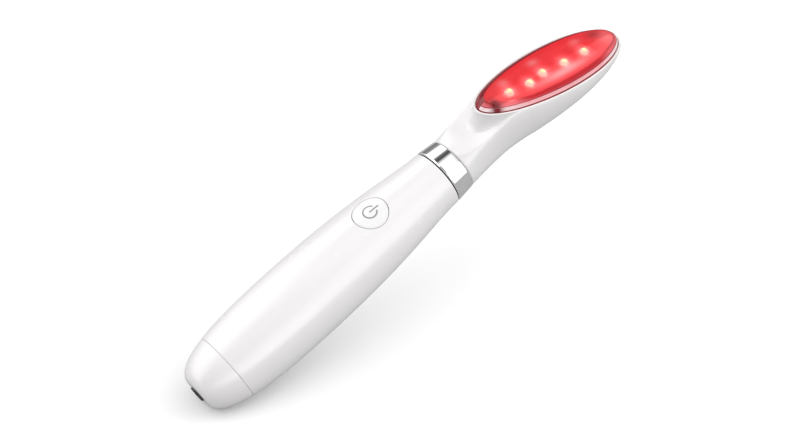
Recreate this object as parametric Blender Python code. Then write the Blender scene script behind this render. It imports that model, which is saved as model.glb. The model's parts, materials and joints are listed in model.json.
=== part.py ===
"""Eye care wand: a round white handle, a metal collar and a head with a red light window.

The wand lies level on its belly, tail towards -X and head towards +X, with the button and the
window up. Lengths along the wand are measured from the tail's end, and heights from the handle's
axis. The window and what lies under it are laid out in the window's own frame: along its length
towards the tip, across it, and up out of its rim.
"""
import math

import bmesh
import bpy
from mathutils import Matrix, Vector

MM = 0.001

# Fits and walls. EMBED is how deep a joined shape enters its wall, and CUT_EXTRA how far a cutter
# runs past what it cuts.
GAP = 0.3 * MM
WALL = 1.6 * MM
EMBED = 0.6 * MM
CUT_EXTRA = 1.0 * MM

# Handle outline: a tail dome, a belly and a slim front end
BELLY_RADIUS = 11.5 * MM
BELLY_AT = 36.0 * MM
TAIL_FLAT_RADIUS = 3.0 * MM
TAIL_EASE = 2.4 * MM
TAIL_SWELL = 11.0 * MM
SEAM_AT = 10.5 * MM
COLLAR_AT = 86.2 * MM
FRONT_RADIUS = 8.35 * MM
FRONT_SLOPE_LENGTH = 11.2 * MM
FRONT_SLOPE_RISE = 0.4 * MM
BELLY_RUN = 30.0 * MM

# Tail cap and charging socket
CAP_SEAT_WALL = 1.55 * MM
CAP_SPIGOT_LENGTH = 4.2 * MM
CAP_SPIGOT_WALL = 2.2 * MM
CAP_END_WALL = 2.0 * MM
CAP_FLOOR_SLOPE = 2.6 * MM
SEAT_SLOPE = 0.5 * MM
PORT_RADIUS = 2.1 * MM
JACK_RADIUS = 3.4 * MM
JACK_BORE_RADIUS = 1.9 * MM
JACK_LENGTH = 9.5 * MM
JACK_BORE_DEPTH = 7.5 * MM
JACK_PIN_RADIUS = 0.65 * MM
JACK_PIN_LENGTH = 5.5 * MM
JACK_PIN_SEAT_DEPTH = 1.2 * MM
JACK_BOSS_WALL = 0.9 * MM
JACK_BOSS_LENGTH = 3.6 * MM

# Seals
TAIL_SEAL_THICKNESS = 0.8 * MM
NECK_SEAL_THICKNESS = 0.6 * MM
SEAL_GROOVE_FROM_RIM = 1.4 * MM

# Collar and the head's spigot
COLLAR_LENGTH = 5.6 * MM
COLLAR_TAPER = 0.5 * MM
COLLAR_WALL = 1.25 * MM
COLLAR_EDGE = 0.3 * MM
SPIGOT_WALL = 1.5 * MM
SPIGOT_IN_HANDLE = 8.0 * MM
MOUTH_EXTRA = 1.2 * MM
NECK_STEP = 0.1 * MM

# Button
BUTTON_FROM_COLLAR = 22.2 * MM
BUTTON_LENGTH = 9.7 * MM
BUTTON_WIDTH = 9.4 * MM
BUTTON_TRAVEL = 0.4 * MM
BUTTON_SKIRT_OVER_BOARD = 1.9 * MM
BUTTON_SKIRT_WALL = 1.1 * MM
BUTTON_TOP_WALL = 2.0 * MM
BUTTON_STEM_RADIUS = 1.3 * MM
HOOK_REACH = 0.9 * MM
HOOK_WIDTH = 3.2 * MM
HOOK_THICKNESS = 0.6 * MM

# Switch under the button
SWITCH_SIDE = 4.5 * MM
SWITCH_HEIGHT = 1.8 * MM
PLUNGER_RADIUS = 1.1 * MM
PLUNGER_REACH = 0.6 * MM
PLUNGER_FLOOR = 0.5 * MM

# Circuit board and its carrier
BOARD_UNDER_BUTTON = 5.0 * MM
BOARD_THICKNESS = 1.0 * MM
BOARD_WIDTH = 11.2 * MM
BOARD_FROM_CARRIER = 5.1 * MM
BOARD_PAST_BUTTON = 7.5 * MM
CARRIER_FROM_CAP = 0.7 * MM
CARRIER_THICKNESS = 1.2 * MM
CARRIER_WIDTH = 14.4 * MM
CARRIER_LIP = 1.6 * MM
POST_RADIUS = 1.6 * MM
POST_HEIGHT = 0.9 * MM
POST_FROM_BOARD_END = 6.5 * MM
POST_FROM_BUTTON = 9.0 * MM
SCREW_RADIUS = 0.6 * MM
SCREW_HEAD_RADIUS = 1.1 * MM
SCREW_HEAD_HEIGHT = 0.7 * MM
SCREW_LENGTH = 2.6 * MM
SCREW_CROWN_RADIUS = 0.7 * MM
RAIL_INNER = 6.3 * MM
RAIL_HEIGHT = 0.9 * MM
RAIL_FROM_CARRIER_END = 0.5 * MM
RAIL_FROM_CARRIER_START = 5.6 * MM
CHIP_HEIGHT = 1.4 * MM
CONTROL_CHIP_LENGTH = 5.0 * MM
CONTROL_CHIP_WIDTH = 4.4 * MM
CHARGE_CHIP_LENGTH = 4.9 * MM
CHARGE_CHIP_WIDTH = 3.9 * MM

# The chips lie between the board's screws, at these shares of the way from the tail's one
CHARGE_CHIP_SHARE = 0.27
CONTROL_CHIP_SHARE = 0.7

# Battery. It fills the room between the carrier's shelf and the belly's wall.
BATTERY_FROM_CARRIER = 4.2 * MM
BATTERY_END_FROM_COLLAR = 22.6 * MM
BATTERY_UNDER_SHELF = 0.6 * MM
BATTERY_NIPPLE_RADIUS = 1.8 * MM
BATTERY_NIPPLE_HEIGHT = 0.8 * MM
BATTERY_EDGE = 0.4 * MM
CLIP_WALL = 1.1 * MM
CLIP_CLEARANCE = 0.2 * MM
CLIP_LENGTH = 5.0 * MM
CLIP_INSET = 4.4 * MM
CLIP_COUNT = 3
CLIP_OPENING_DEGREES = 100.0
STOP_WIDTH = 5.0 * MM

# Light window: an oval that widens a little towards the tip
WINDOW_FROM_COLLAR = 37.2 * MM
WINDOW_HEIGHT = 2.7 * MM
WINDOW_TILT_DEGREES = 20.8
WINDOW_HALF_LENGTH = 26.5 * MM
WINDOW_HALF_WIDTH = 8.4 * MM
WINDOW_EGG = 0.09
RIM_WALL = 0.6 * MM
WINDOW_SKIRT_DEPTH = 1.0 * MM
WINDOW_SIDE_HEIGHT = 1.2 * MM
WINDOW_SIDE_INSET = 0.6 * MM
WINDOW_BEVEL_HEIGHT = 1.0 * MM
WINDOW_BEVEL_INSET = 1.35 * MM
WINDOW_EASE = 0.1 * MM
WINDOW_WALL = 1.2 * MM
LEDGE_NEAR = 1.5 * MM
LEDGE_TIP = 8.5 * MM
LEDGE_SIDE = 1.3 * MM
APERTURE_DEPTH = 7.0 * MM
APERTURE_TIP_DEPTH = 3.0 * MM
PEDESTAL_DEPTH = 7.0 * MM
PEDESTAL_FLARE = 2.6 * MM
PEDESTAL_START_DEGREES = 105.0
PEDESTAL_FOOT = 1.0 * MM
PEDESTAL_END_INSET = 0.6 * MM
PEDESTAL_END_POWER = 0.25
PEDESTAL_TAPER = 0.1
RIM_TRIM = 0.5 * MM
BOWL_LID = 2.5 * MM
NECK_LID = 1.8 * MM
HOLLOW_BOWL_ROWS = 6
NOSE = 0.1 * MM

# Light board
LIGHT_BOARD_DEPTH = 1.6 * MM
LIGHT_BOARD_THICKNESS = 1.0 * MM
LIGHT_BOARD_EDGE_GAP = 0.4 * MM
LIGHT_RADIUS = 1.3 * MM
LIGHT_HEIGHT = 1.2 * MM
LIGHT_SHOULDER_RADIUS = 1.0 * MM
LIGHT_SIDE_HEIGHT = 0.55 * MM
LIGHT_SHOULDER_HEIGHT = 0.95 * MM
BOSS_RADIUS = 1.7 * MM
LIGHT_SHELF_LENGTH = 2.4 * MM
LIGHT_SHELF_WIDTH = 5.0 * MM
LIGHT_SHELF_THICKNESS = 1.2 * MM

# Places along the light board, as shares of its half length from its middle, with each light's
# own step across the board
LIGHTS_AT = ((-0.507, 0.6 * MM), (-0.172, 0.0), (0.102, 0.9 * MM), (0.479, 0.4 * MM), (0.851, 0.4 * MM))
BOSSES_AT = (-0.035, 0.665)

# Vibration motor
MOTOR_RADIUS = 3.5 * MM
MOTOR_LENGTH = 14.0 * MM
MOTOR_FROM_COLLAR = 6.2 * MM
MOTOR_HEIGHT = -1.0 * MM
MOTOR_NOSE_RADIUS = 1.5 * MM
MOTOR_NOSE_LENGTH = 0.8 * MM
MOTOR_EDGE = 0.3 * MM
SHAFT_RADIUS = 0.5 * MM
SHAFT_IN_MOTOR = 4.0 * MM
WEIGHT_RADIUS = 3.0 * MM
WEIGHT_LENGTH = 4.2 * MM
WEIGHT_HUB_RADIUS = 1.5 * MM
WEIGHT_CAP = 0.6 * MM
BOOT_WALL = 0.7 * MM
BOOT_LENGTH = 11.5 * MM
SADDLE_THICKNESS = 1.2 * MM
SADDLES_AT = (3.0 * MM, 9.0 * MM)

# Leads
LEAD_RADIUS = 0.5 * MM
LEAD_SPACING = 3.0 * MM
LEAD_RISE = 0.7 * MM

# Smoothness of round pieces
BODY_SIDES = 32
INNER_SIDES = 24
SMALL_SIDES = 12
SEAL_SIDES = 8
OVAL_SIDES = 36
CLIP_STEPS = 14
WEIGHT_STEPS = 12
PEDESTAL_STEPS = 20
PEDESTAL_LAYERS = 5
LEAD_STEPS = 4
TAIL_STEPS = 9
FRONT_STEPS = 9
STATION_MARGIN = 0.8 * MM
MERGE_DISTANCE = 0.001 * MM
SHARP_ANGLE = math.radians(35.0)

# The head's cross-sections. Neck rows are placed by their share of the way from the collar to the
# bowl. They hold, in the head's unit, how much the half width, the keel's depth, the shoulder's half
# width, the shoulder's height and the thumb rest's height differ from the neck's radius, and how
# high the widest line lies.
HEAD_UNIT = 1.0 * MM
NECK_ROWS = (
    (0.0, 0.0, 0.0, -4.23, -0.85, 0.0, 0.0),
    (0.133, -0.15, -0.15, -3.05, -0.75, -0.5, 0.3),
    (0.267, -0.25, -0.25, -2.3, -0.6, -0.75, 0.6),
    (0.4, -0.27, -0.27, -1.85, -0.4, -0.55, 1.0),
    (0.533, -0.25, -0.2, -1.6, 0.1, -0.05, 1.35),
    (0.667, -0.1, 0.0, -1.5, 0.75, 0.55, 1.7),
    (0.8, 0.2, 0.45, -1.35, 1.25, 1.05, 1.95),
)
# Bowl rows are placed by their angle round the window, 180 at its near end and 0 at its tip. They
# hold, in the head's unit, the bulge beyond the rim, and how far the widest line and the keel lie
# below the rim.
BOWL_ROWS = (
    (125.0, 1.25, 6.4, 17.35),
    (110.0, 0.7, 4.6, 16.45),
    (95.0, 0.43, 2.95, 14.9),
    (80.0, 0.3, 2.1, 12.45),
    (65.0, 0.1, 1.5, 10.0),
    (50.0, 0.05, 0.9, 7.3),
    (38.0, 0.02, 0.6, 5.0),
    (26.0, 0.01, 0.4, 3.1),
    (14.0, 0.0, 0.25, 1.7),
    (5.0, 0.0, 0.15, 0.9),
)
KEEL_STEPS = 6
FLANK_STEPS = 4
TOP_STEPS = 3
SHOULDER_ANGLE = math.radians(63.0)


def bezier(points, share):
    """A point of a cubic Bezier curve."""
    left = 1.0 - share
    weights = (left**3, 3 * left**2 * share, 3 * left * share**2, share**3)
    return tuple(sum(w * p[axis] for w, p in zip(weights, points)) for axis in (0, 1))


TAIL_CURVE = (
    (0.0, TAIL_FLAT_RADIUS),
    (0.0, BELLY_RADIUS - TAIL_EASE),
    (TAIL_SWELL, BELLY_RADIUS),
    (BELLY_AT, BELLY_RADIUS),
)
FRONT_CURVE = (
    (BELLY_AT, BELLY_RADIUS),
    (BELLY_AT + BELLY_RUN, BELLY_RADIUS),
    (COLLAR_AT - FRONT_SLOPE_LENGTH, FRONT_RADIUS + FRONT_SLOPE_RISE),
    (COLLAR_AT, FRONT_RADIUS),
)


def barrel_radius(along):
    """The handle's outer radius at a distance from the tail's end."""
    curve = TAIL_CURVE if along < BELLY_AT else FRONT_CURVE
    low, high = 0.0, 1.0
    for _ in range(40):
        share = (low + high) / 2
        if bezier(curve, share)[0] < along:
            low = share
        else:
            high = share
    return bezier(curve, (low + high) / 2)[1]


# Places worked out from the sizes above
AXIS_HEIGHT = BELLY_RADIUS * math.cos(math.pi / BODY_SIDES)
CAP_SPIGOT_RADIUS = barrel_radius(SEAM_AT) - CAP_SEAT_WALL - GAP
COLLAR_FRONT_RADIUS = FRONT_RADIUS - COLLAR_TAPER
COLLAR_END = COLLAR_AT + COLLAR_LENGTH
NECK_AT = COLLAR_END + GAP / 2
NECK_RADIUS = COLLAR_FRONT_RADIUS - NECK_STEP
SPIGOT_RADIUS = COLLAR_FRONT_RADIUS - COLLAR_WALL - GAP
SPIGOT_BORE_RADIUS = SPIGOT_RADIUS - SPIGOT_WALL
BUTTON_AT = COLLAR_AT - BUTTON_FROM_COLLAR
BUTTON_FACE = barrel_radius(BUTTON_AT)
BUTTON_CEILING = BUTTON_FACE - BUTTON_TOP_WALL
BOARD_TOP = BUTTON_FACE - BOARD_UNDER_BUTTON
BOARD_BOTTOM = BOARD_TOP - BOARD_THICKNESS
BUTTON_SKIRT_BOTTOM = BOARD_TOP + BUTTON_SKIRT_OVER_BOARD
CARRIER_TOP = BOARD_BOTTOM - POST_HEIGHT
CARRIER_BOTTOM = CARRIER_TOP - CARRIER_THICKNESS
CARRIER_START = SEAM_AT + CAP_SPIGOT_LENGTH + CARRIER_FROM_CAP
BATTERY_START = CARRIER_START + BATTERY_FROM_CARRIER
BATTERY_LENGTH = COLLAR_AT - BATTERY_END_FROM_COLLAR - BATTERY_START
BATTERY_TOP = CARRIER_BOTTOM - BATTERY_UNDER_SHELF
BATTERY_BOTTOM = -(BELLY_RADIUS - WALL - CLIP_CLEARANCE - CLIP_WALL - GAP)
BATTERY_RADIUS = (BATTERY_TOP - BATTERY_BOTTOM) / 2
BATTERY_HEIGHT = (BATTERY_TOP + BATTERY_BOTTOM) / 2
STOP_AT = BATTERY_START + BATTERY_LENGTH + BATTERY_NIPPLE_HEIGHT + GAP
CARRIER_END = STOP_AT + CARRIER_THICKNESS + CARRIER_LIP
RAIL_START = CARRIER_START + RAIL_FROM_CARRIER_START
RAIL_END = CARRIER_END - RAIL_FROM_CARRIER_END
BOARD_START = CARRIER_START + BOARD_FROM_CARRIER
BOARD_END = BUTTON_AT + BOARD_PAST_BUTTON
POST_SCREW_AT = (BOARD_START + POST_FROM_BOARD_END, BUTTON_AT - POST_FROM_BUTTON)
WINDOW_AT = COLLAR_END + WINDOW_FROM_COLLAR
WINDOW_TILT = math.radians(WINDOW_TILT_DEGREES)
RIM_OFFSET = GAP + RIM_WALL
RIM_REACH = (WINDOW_HALF_LENGTH + RIM_OFFSET) * math.cos(WINDOW_TILT)
WAND_LENGTH = WINDOW_AT + RIM_REACH
APERTURE = {
    "half_length": WINDOW_HALF_LENGTH - (LEDGE_NEAR + LEDGE_TIP) / 2,
    "half_width": WINDOW_HALF_WIDTH - LEDGE_SIDE,
    "shift": (LEDGE_NEAR - LEDGE_TIP) / 2,
}
MOTOR_START = COLLAR_END + MOTOR_FROM_COLLAR


def clear_scene():
    """Removes what a new file starts with."""
    for obj in list(bpy.data.objects):
        bpy.data.objects.remove(obj, do_unlink=True)


def material(name, color, roughness, metallic=0.0, transmission=0.0):
    """Makes a Principled material, or returns the one of that name."""
    found = bpy.data.materials.get(name)
    if found:
        return found
    made = bpy.data.materials.new(name)
    made.use_nodes = True
    shader = made.node_tree.nodes["Principled BSDF"]
    shader.inputs["Base Color"].default_value = (*color, 1.0)
    shader.inputs["Roughness"].default_value = roughness
    shader.inputs["Metallic"].default_value = metallic
    shader.inputs["Transmission Weight"].default_value = transmission
    return made


def empty(name, location, rotation=(0.0, 0.0, 0.0), parent=None):
    """Makes a frame that other objects are parented to."""
    made = bpy.data.objects.new(name, None)
    bpy.context.scene.collection.objects.link(made)
    made.location = location
    made.rotation_euler = rotation
    made.parent = parent
    return made


def new_object(name, bm, parent, surface=None, location=(0.0, 0.0, 0.0)):
    """Turns a bmesh into an object with outward faces, shaded smooth between its sharp edges."""
    bmesh.ops.remove_doubles(bm, verts=bm.verts, dist=MERGE_DISTANCE)
    bmesh.ops.recalc_face_normals(bm, faces=bm.faces)
    mesh = bpy.data.meshes.new(name)
    bm.to_mesh(mesh)
    bm.free()
    mesh.shade_smooth()
    mesh.set_sharp_from_angle(angle=SHARP_ANGLE)
    made = bpy.data.objects.new(name, mesh)
    bpy.context.scene.collection.objects.link(made)
    made.parent = parent
    made.location = location
    if surface:
        mesh.materials.append(surface)
    return made


def helper(obj):
    """Marks an object as a tool that other objects are cut by or joined with."""
    obj.hide_render = True
    obj.display_type = "WIRE"
    return obj


def combine(obj, tool, operation):
    """Adds an exact Boolean of a tool to an object."""
    helper(tool)
    step = obj.modifiers.new(f"{operation.lower()} {tool.name}", "BOOLEAN")
    step.operation = operation
    step.solver = "EXACT"
    step.object = tool


def join(obj, tool):
    combine(obj, tool, "UNION")


def cut(obj, tool):
    combine(obj, tool, "DIFFERENCE")


def keep_inside(obj, tool):
    combine(obj, tool, "INTERSECT")


def turned(outline, sides=BODY_SIDES):
    """Spins a closed outline of (along, radius) points about the X axis, a flat facet down."""
    bm = bmesh.new()
    turn = math.pi / sides
    points = []
    for along, radius in outline:
        points.append(bm.verts.new((along, radius * math.sin(turn), -radius * math.cos(turn))))
    edges = []
    for i, point in enumerate(points):
        after = points[(i + 1) % len(points)]
        on_axis = outline[i][1] == 0.0 and outline[(i + 1) % len(points)][1] == 0.0
        if not on_axis:
            edges.append(bm.edges.new((point, after)))
    bmesh.ops.spin(
        bm,
        geom=points + edges,
        cent=(0.0, 0.0, 0.0),
        axis=(1.0, 0.0, 0.0),
        angle=2.0 * math.pi,
        steps=sides,
        use_merge=True,
    )
    return bm


def upright(bm, center=(0.0, 0.0, 0.0)):
    """Turns a shape that was spun about X so that its X runs up along Z, then moves it."""
    bmesh.ops.rotate(bm, verts=bm.verts, cent=(0, 0, 0), matrix=Matrix.Rotation(-math.pi / 2, 3, "Y"))
    bmesh.ops.translate(bm, verts=bm.verts, vec=center)
    return bm


def rod(radius, start, end, sides=SMALL_SIDES):
    """A solid cylinder along X."""
    return turned([(start, 0.0), (start, radius), (end, radius), (end, 0.0)], sides)


def tube(outer, inner, start, end, sides=SMALL_SIDES):
    """A hollow cylinder along X, open at both ends."""
    return turned([(start, inner), (start, outer), (end, outer), (end, inner)], sides)


def box(low, high):
    """A box between two corners."""
    bm = bmesh.new()
    bmesh.ops.create_cube(bm, size=1.0)
    bmesh.ops.scale(bm, vec=Vector(high) - Vector(low), verts=bm.verts)
    bmesh.ops.translate(bm, vec=(Vector(high) + Vector(low)) / 2, verts=bm.verts)
    return bm


def merge(*shapes):
    """Collects shapes that don't touch in one bmesh."""
    whole = shapes[0]
    for shape in shapes[1:]:
        mesh = bpy.data.meshes.new("shape")
        shape.to_mesh(mesh)
        shape.free()
        whole.from_mesh(mesh)
        bpy.data.meshes.remove(mesh)
    return whole


def loft(rings, start_point=None, end_point=None):
    """Skins closed rings of points, with flat ends, or ends that meet in a point."""
    bm = bmesh.new()
    rows = []
    for ring in rings:
        rows.append([bm.verts.new(point) for point in ring])
    count = len(rows[0])
    for near, far in zip(rows, rows[1:]):
        for i in range(count):
            j = (i + 1) % count
            bm.faces.new((near[i], near[j], far[j], far[i]))
    for row, point in ((rows[0], start_point), (rows[-1], end_point)):
        if point is None:
            bm.faces.new(row)
            continue
        tip = bm.verts.new(point)
        for i in range(count):
            bm.faces.new((row[i], row[(i + 1) % count], tip))
    return bm


def middle(ring):
    """The centre of a ring's points."""
    return sum(ring, Vector()) / len(ring)


def barrel_stations(start, end):
    """Distances along the handle between two places, closer together where it curves more."""
    stations = [bezier(TAIL_CURVE, i / TAIL_STEPS)[0] for i in range(TAIL_STEPS + 1)]
    stations += [bezier(FRONT_CURVE, i / FRONT_STEPS)[0] for i in range(1, FRONT_STEPS + 1)]
    low = start + STATION_MARGIN
    high = end - STATION_MARGIN
    inner = [along for along in stations if low < along < high]
    return [start] + inner + [end]


def barrel_outline(start, end, inset=0.0):
    """The handle's outline between two places, moved inwards by an inset."""
    return [(along, barrel_radius(along) - inset) for along in barrel_stations(start, end)]


def oval(offset, height, half_length=WINDOW_HALF_LENGTH, half_width=WINDOW_HALF_WIDTH, shift=0.0):
    """The window's oval, moved outwards by an offset, as a ring in the window's frame."""
    ring = []
    for i in range(OVAL_SIDES):
        angle = 2.0 * math.pi * i / OVAL_SIDES
        along = shift + (half_length + offset) * math.cos(angle)
        egg = 1.0 + WINDOW_EGG * math.cos(angle)
        across = (half_width + offset) * math.sin(angle) * egg
        up = height(angle) if callable(height) else height
        ring.append(Vector((along, across, up)))
    return ring


def oval_block(offset, bottom, top, **shape):
    """A solid with the window's oval outline between two heights."""
    return loft([oval(offset, bottom, **shape), oval(offset, top, **shape)])


def rim_plane(along):
    """The height of the window's rim at a distance from the tail's end."""
    return WINDOW_HEIGHT - math.tan(WINDOW_TILT) * (along - WINDOW_AT)


def head_stations():
    """The head's cross-sections from the collar to the tip, as rows of real sizes."""
    bowl = []
    for degrees, bulge, waist_drop, keel_drop in BOWL_ROWS:
        angle = math.radians(degrees)
        along = WINDOW_AT + RIM_REACH * math.cos(angle)
        rim = (WINDOW_HALF_WIDTH + RIM_OFFSET) * math.sin(angle) * (1.0 + WINDOW_EGG * math.cos(angle))
        plane = rim_plane(along)
        bowl.append((
            along,
            rim + bulge * HEAD_UNIT,
            plane - waist_drop * HEAD_UNIT,
            plane - keel_drop * HEAD_UNIT,
            rim,
            plane + RIM_TRIM,
            plane + RIM_TRIM,
        ))
    neck = []
    for share, width, keel, shoulder, ridge, top, waist in NECK_ROWS:
        neck.append((
            NECK_AT + share * (bowl[0][0] - NECK_AT),
            NECK_RADIUS + width * HEAD_UNIT,
            waist * HEAD_UNIT,
            -NECK_RADIUS - keel * HEAD_UNIT,
            NECK_RADIUS + shoulder * HEAD_UNIT,
            NECK_RADIUS + ridge * HEAD_UNIT,
            NECK_RADIUS + top * HEAD_UNIT,
        ))
    return neck + bowl


def head_ring(station, wall=0.0, lid=0.0):
    """One closed cross-section of the head, inset by a wall and lowered by a lid's thickness."""
    along, width, waist, keel, shoulder, ridge, top = station
    width -= wall
    keel += wall
    shoulder = max(shoulder - wall, GAP)
    ridge -= lid
    top -= lid
    waist = min(waist, ridge - GAP)
    half = []
    first = math.pi / 4 / KEEL_STEPS
    for i in range(KEEL_STEPS + 1):
        angle = first + (math.pi / 2 - first) * i / KEEL_STEPS
        drop = (waist - keel) * math.cos(angle) / math.cos(first)
        half.append((width * math.sin(angle), waist - drop))
    for i in range(1, FLANK_STEPS + 1):
        angle = SHOULDER_ANGLE * i / FLANK_STEPS
        pull = (1.0 - math.cos(angle)) / (1.0 - math.cos(SHOULDER_ANGLE))
        rise = math.sin(angle) / math.sin(SHOULDER_ANGLE)
        half.append((width - (width - shoulder) * pull, waist + (ridge - waist) * rise))
    for i in range(1, TOP_STEPS):
        share = 1.0 - i / TOP_STEPS
        half.append((shoulder * share, top + (ridge - top) * share**2))
    ring = [Vector((along, y, z)) for y, z in half]
    ring.append(Vector((along, 0.0, top)))
    ring += [Vector((along, -y, z)) for y, z in reversed(half)]
    return ring


def handle_shell(wand, white):
    """The handle's one-piece tube, with a stepped bore, guide rails and the button's hole."""
    start = SEAM_AT + GAP / 2
    end = COLLAR_AT - GAP / 2
    seat = CAP_SPIGOT_RADIUS + GAP
    mouth = SPIGOT_RADIUS + GAP
    seat_end = SEAM_AT + CAP_SPIGOT_LENGTH + GAP
    mouth_start = COLLAR_AT - SPIGOT_IN_HANDLE - MOUTH_EXTRA
    outline = barrel_outline(start, end)
    bore = [(start, seat), (seat_end, seat)]
    bore += barrel_outline(seat_end + SEAT_SLOPE, mouth_start - MOUTH_EXTRA, WALL)
    bore += [(mouth_start, mouth), (end, mouth)]
    shell = new_object("handle_shell", turned(outline + bore[::-1]), wand, white)

    rails = []
    for side in (-1, 1):
        for bottom in (CARRIER_TOP + GAP, CARRIER_BOTTOM - GAP - RAIL_HEIGHT):
            near = side * RAIL_INNER
            far = side * BELLY_RADIUS
            low = (RAIL_START, min(near, far), bottom)
            high = (RAIL_END, max(near, far), bottom + RAIL_HEIGHT)
            rails.append(box(low, high))
    rail_core = barrel_outline(RAIL_START - CUT_EXTRA, RAIL_END + CUT_EXTRA, WALL - EMBED)
    rail_core = [(rail_core[0][0], 0.0)] + rail_core + [(rail_core[-1][0], 0.0)]
    rail_blocks = new_object("rail_blocks", merge(*rails), wand)
    keep_inside(rail_blocks, new_object("rail_core", turned(rail_core), wand))
    join(shell, rail_blocks)
    cut(shell, new_object("button_hole", button_block(GAP, 0.0, BELLY_RADIUS + CUT_EXTRA), wand))
    return shell


def button_block(offset, bottom, top):
    """An upright oval block at the button's place."""
    rings = []
    for height in (bottom, top):
        ring = []
        for i in range(OVAL_SIDES):
            angle = 2.0 * math.pi * i / OVAL_SIDES
            x = BUTTON_AT + (BUTTON_LENGTH / 2 + offset) * math.cos(angle)
            y = (BUTTON_WIDTH / 2 + offset) * math.sin(angle)
            ring.append(Vector((x, y, height)))
        rings.append(ring)
    return loft(rings)


def tail_cap(wand, white):
    """The domed end cap, with its port, the socket's boss and a spigot that enters the handle."""
    rim = SEAM_AT - GAP / 2
    spigot_end = SEAM_AT + CAP_SPIGOT_LENGTH
    bore = CAP_SPIGOT_RADIUS - CAP_SPIGOT_WALL
    boss = JACK_RADIUS + GAP
    boss_outer = boss + JACK_BOSS_WALL
    boss_end = CAP_END_WALL + JACK_BOSS_LENGTH
    groove = CAP_SPIGOT_RADIUS - TAIL_SEAL_THICKNESS - GAP
    groove_start = SEAM_AT + SEAL_GROOVE_FROM_RIM
    groove_end = groove_start + TAIL_SEAL_THICKNESS + 2 * GAP
    outline = [(0.0, PORT_RADIUS)]
    outline += barrel_outline(0.0, rim)
    outline += [(rim, CAP_SPIGOT_RADIUS), (groove_start, CAP_SPIGOT_RADIUS), (groove_start, groove)]
    outline += [(groove_end, groove), (groove_end, CAP_SPIGOT_RADIUS)]
    outline += [(spigot_end, CAP_SPIGOT_RADIUS), (spigot_end, bore)]
    outline += [(CAP_END_WALL + CAP_FLOOR_SLOPE, bore), (CAP_END_WALL, boss_outer)]
    outline += [(boss_end, boss_outer)]
    outline += [(boss_end, boss), (CAP_END_WALL, boss), (CAP_END_WALL, PORT_RADIUS)]
    return new_object("tail_cap", turned(outline), wand, white)


def ring_seal(name, wand, rubber, middle, outer, thickness):
    """A round rubber ring about the wand's axis."""
    radius = thickness / 2
    outline = []
    for i in range(SEAL_SIDES):
        angle = 2.0 * math.pi * i / SEAL_SIDES
        outline.append((middle + radius * math.cos(angle), outer - radius + radius * math.sin(angle)))
    return new_object(name, turned(outline), wand, rubber)


def charging_jack(wand, black, metal):
    """The round charging socket behind the port, and its centre pin."""
    start = CAP_END_WALL + GAP
    end = start + JACK_LENGTH
    floor = start + JACK_BORE_DEPTH
    pin_seat = JACK_PIN_RADIUS + GAP
    pin_floor = floor + JACK_PIN_SEAT_DEPTH
    outline = [(start, JACK_BORE_RADIUS), (start, JACK_RADIUS), (end, JACK_RADIUS), (end, 0.0)]
    outline += [(pin_floor, 0.0), (pin_floor, pin_seat), (floor, pin_seat), (floor, JACK_BORE_RADIUS)]
    new_object("charging_jack", turned(outline, INNER_SIDES), wand, black)
    pin = rod(JACK_PIN_RADIUS, floor - JACK_PIN_LENGTH, pin_floor - GAP)
    new_object("jack_pin", pin, wand, metal)
    return end


def collar_ring(wand, chrome):
    """The metal collar between the handle and the head, its edges eased."""
    start = COLLAR_AT + GAP / 2
    end = COLLAR_END - GAP / 2
    bore = SPIGOT_RADIUS + GAP
    outline = [
        (start, bore),
        (start, FRONT_RADIUS - COLLAR_EDGE),
        (start + COLLAR_EDGE, FRONT_RADIUS),
        (end - COLLAR_EDGE, COLLAR_FRONT_RADIUS),
        (end, COLLAR_FRONT_RADIUS - COLLAR_EDGE),
        (end, bore),
    ]
    return new_object("collar_ring", turned(outline), wand, chrome)


def power_button(button, wand, grey):
    """The button's cap, flush with the handle, with a stem and two hooks under the shell."""
    half = BUTTON_LENGTH / 2
    cap = new_object("power_button", button_block(0.0, BUTTON_SKIRT_BOTTOM, BELLY_RADIUS), wand, grey)
    core_start = BUTTON_AT - BUTTON_LENGTH
    core_end = BUTTON_AT + BUTTON_LENGTH
    core = [(core_start, 0.0)] + barrel_outline(core_start, core_end) + [(core_end, 0.0)]
    keep_inside(cap, new_object("button_face", turned(core, 2 * BODY_SIDES), wand))
    hollow = button_block(-BUTTON_SKIRT_WALL, 0.0, BUTTON_CEILING)
    cut(cap, new_object("button_hollow", hollow, wand))
    stem_bottom = BOARD_TOP + GAP + SWITCH_HEIGHT + PLUNGER_REACH + GAP
    stem = upright(rod(BUTTON_STEM_RADIUS, stem_bottom, BUTTON_CEILING + EMBED), (BUTTON_AT, 0, 0))
    join(cap, new_object("button_stem", stem, wand))
    hooks = []
    for side in (-1, 1):
        near = BUTTON_AT + side * (half - BUTTON_SKIRT_WALL / 2)
        far = BUTTON_AT + side * (half + HOOK_REACH)
        low = (min(near, far), -HOOK_WIDTH / 2, BUTTON_SKIRT_BOTTOM)
        high = (max(near, far), HOOK_WIDTH / 2, BUTTON_SKIRT_BOTTOM + HOOK_THICKNESS)
        hooks.append(box(low, high))
    join(cap, new_object("button_hooks", merge(*hooks), wand))
    keep_place_under(cap, button)
    return cap


def keep_place_under(obj, frame):
    """Parents an object to a frame, leaving it where it is."""
    bpy.context.view_layer.update()
    place = obj.matrix_world.copy()
    obj.parent = frame
    obj.matrix_parent_inverse = frame.matrix_world.inverted()
    obj.matrix_basis = place


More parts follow.
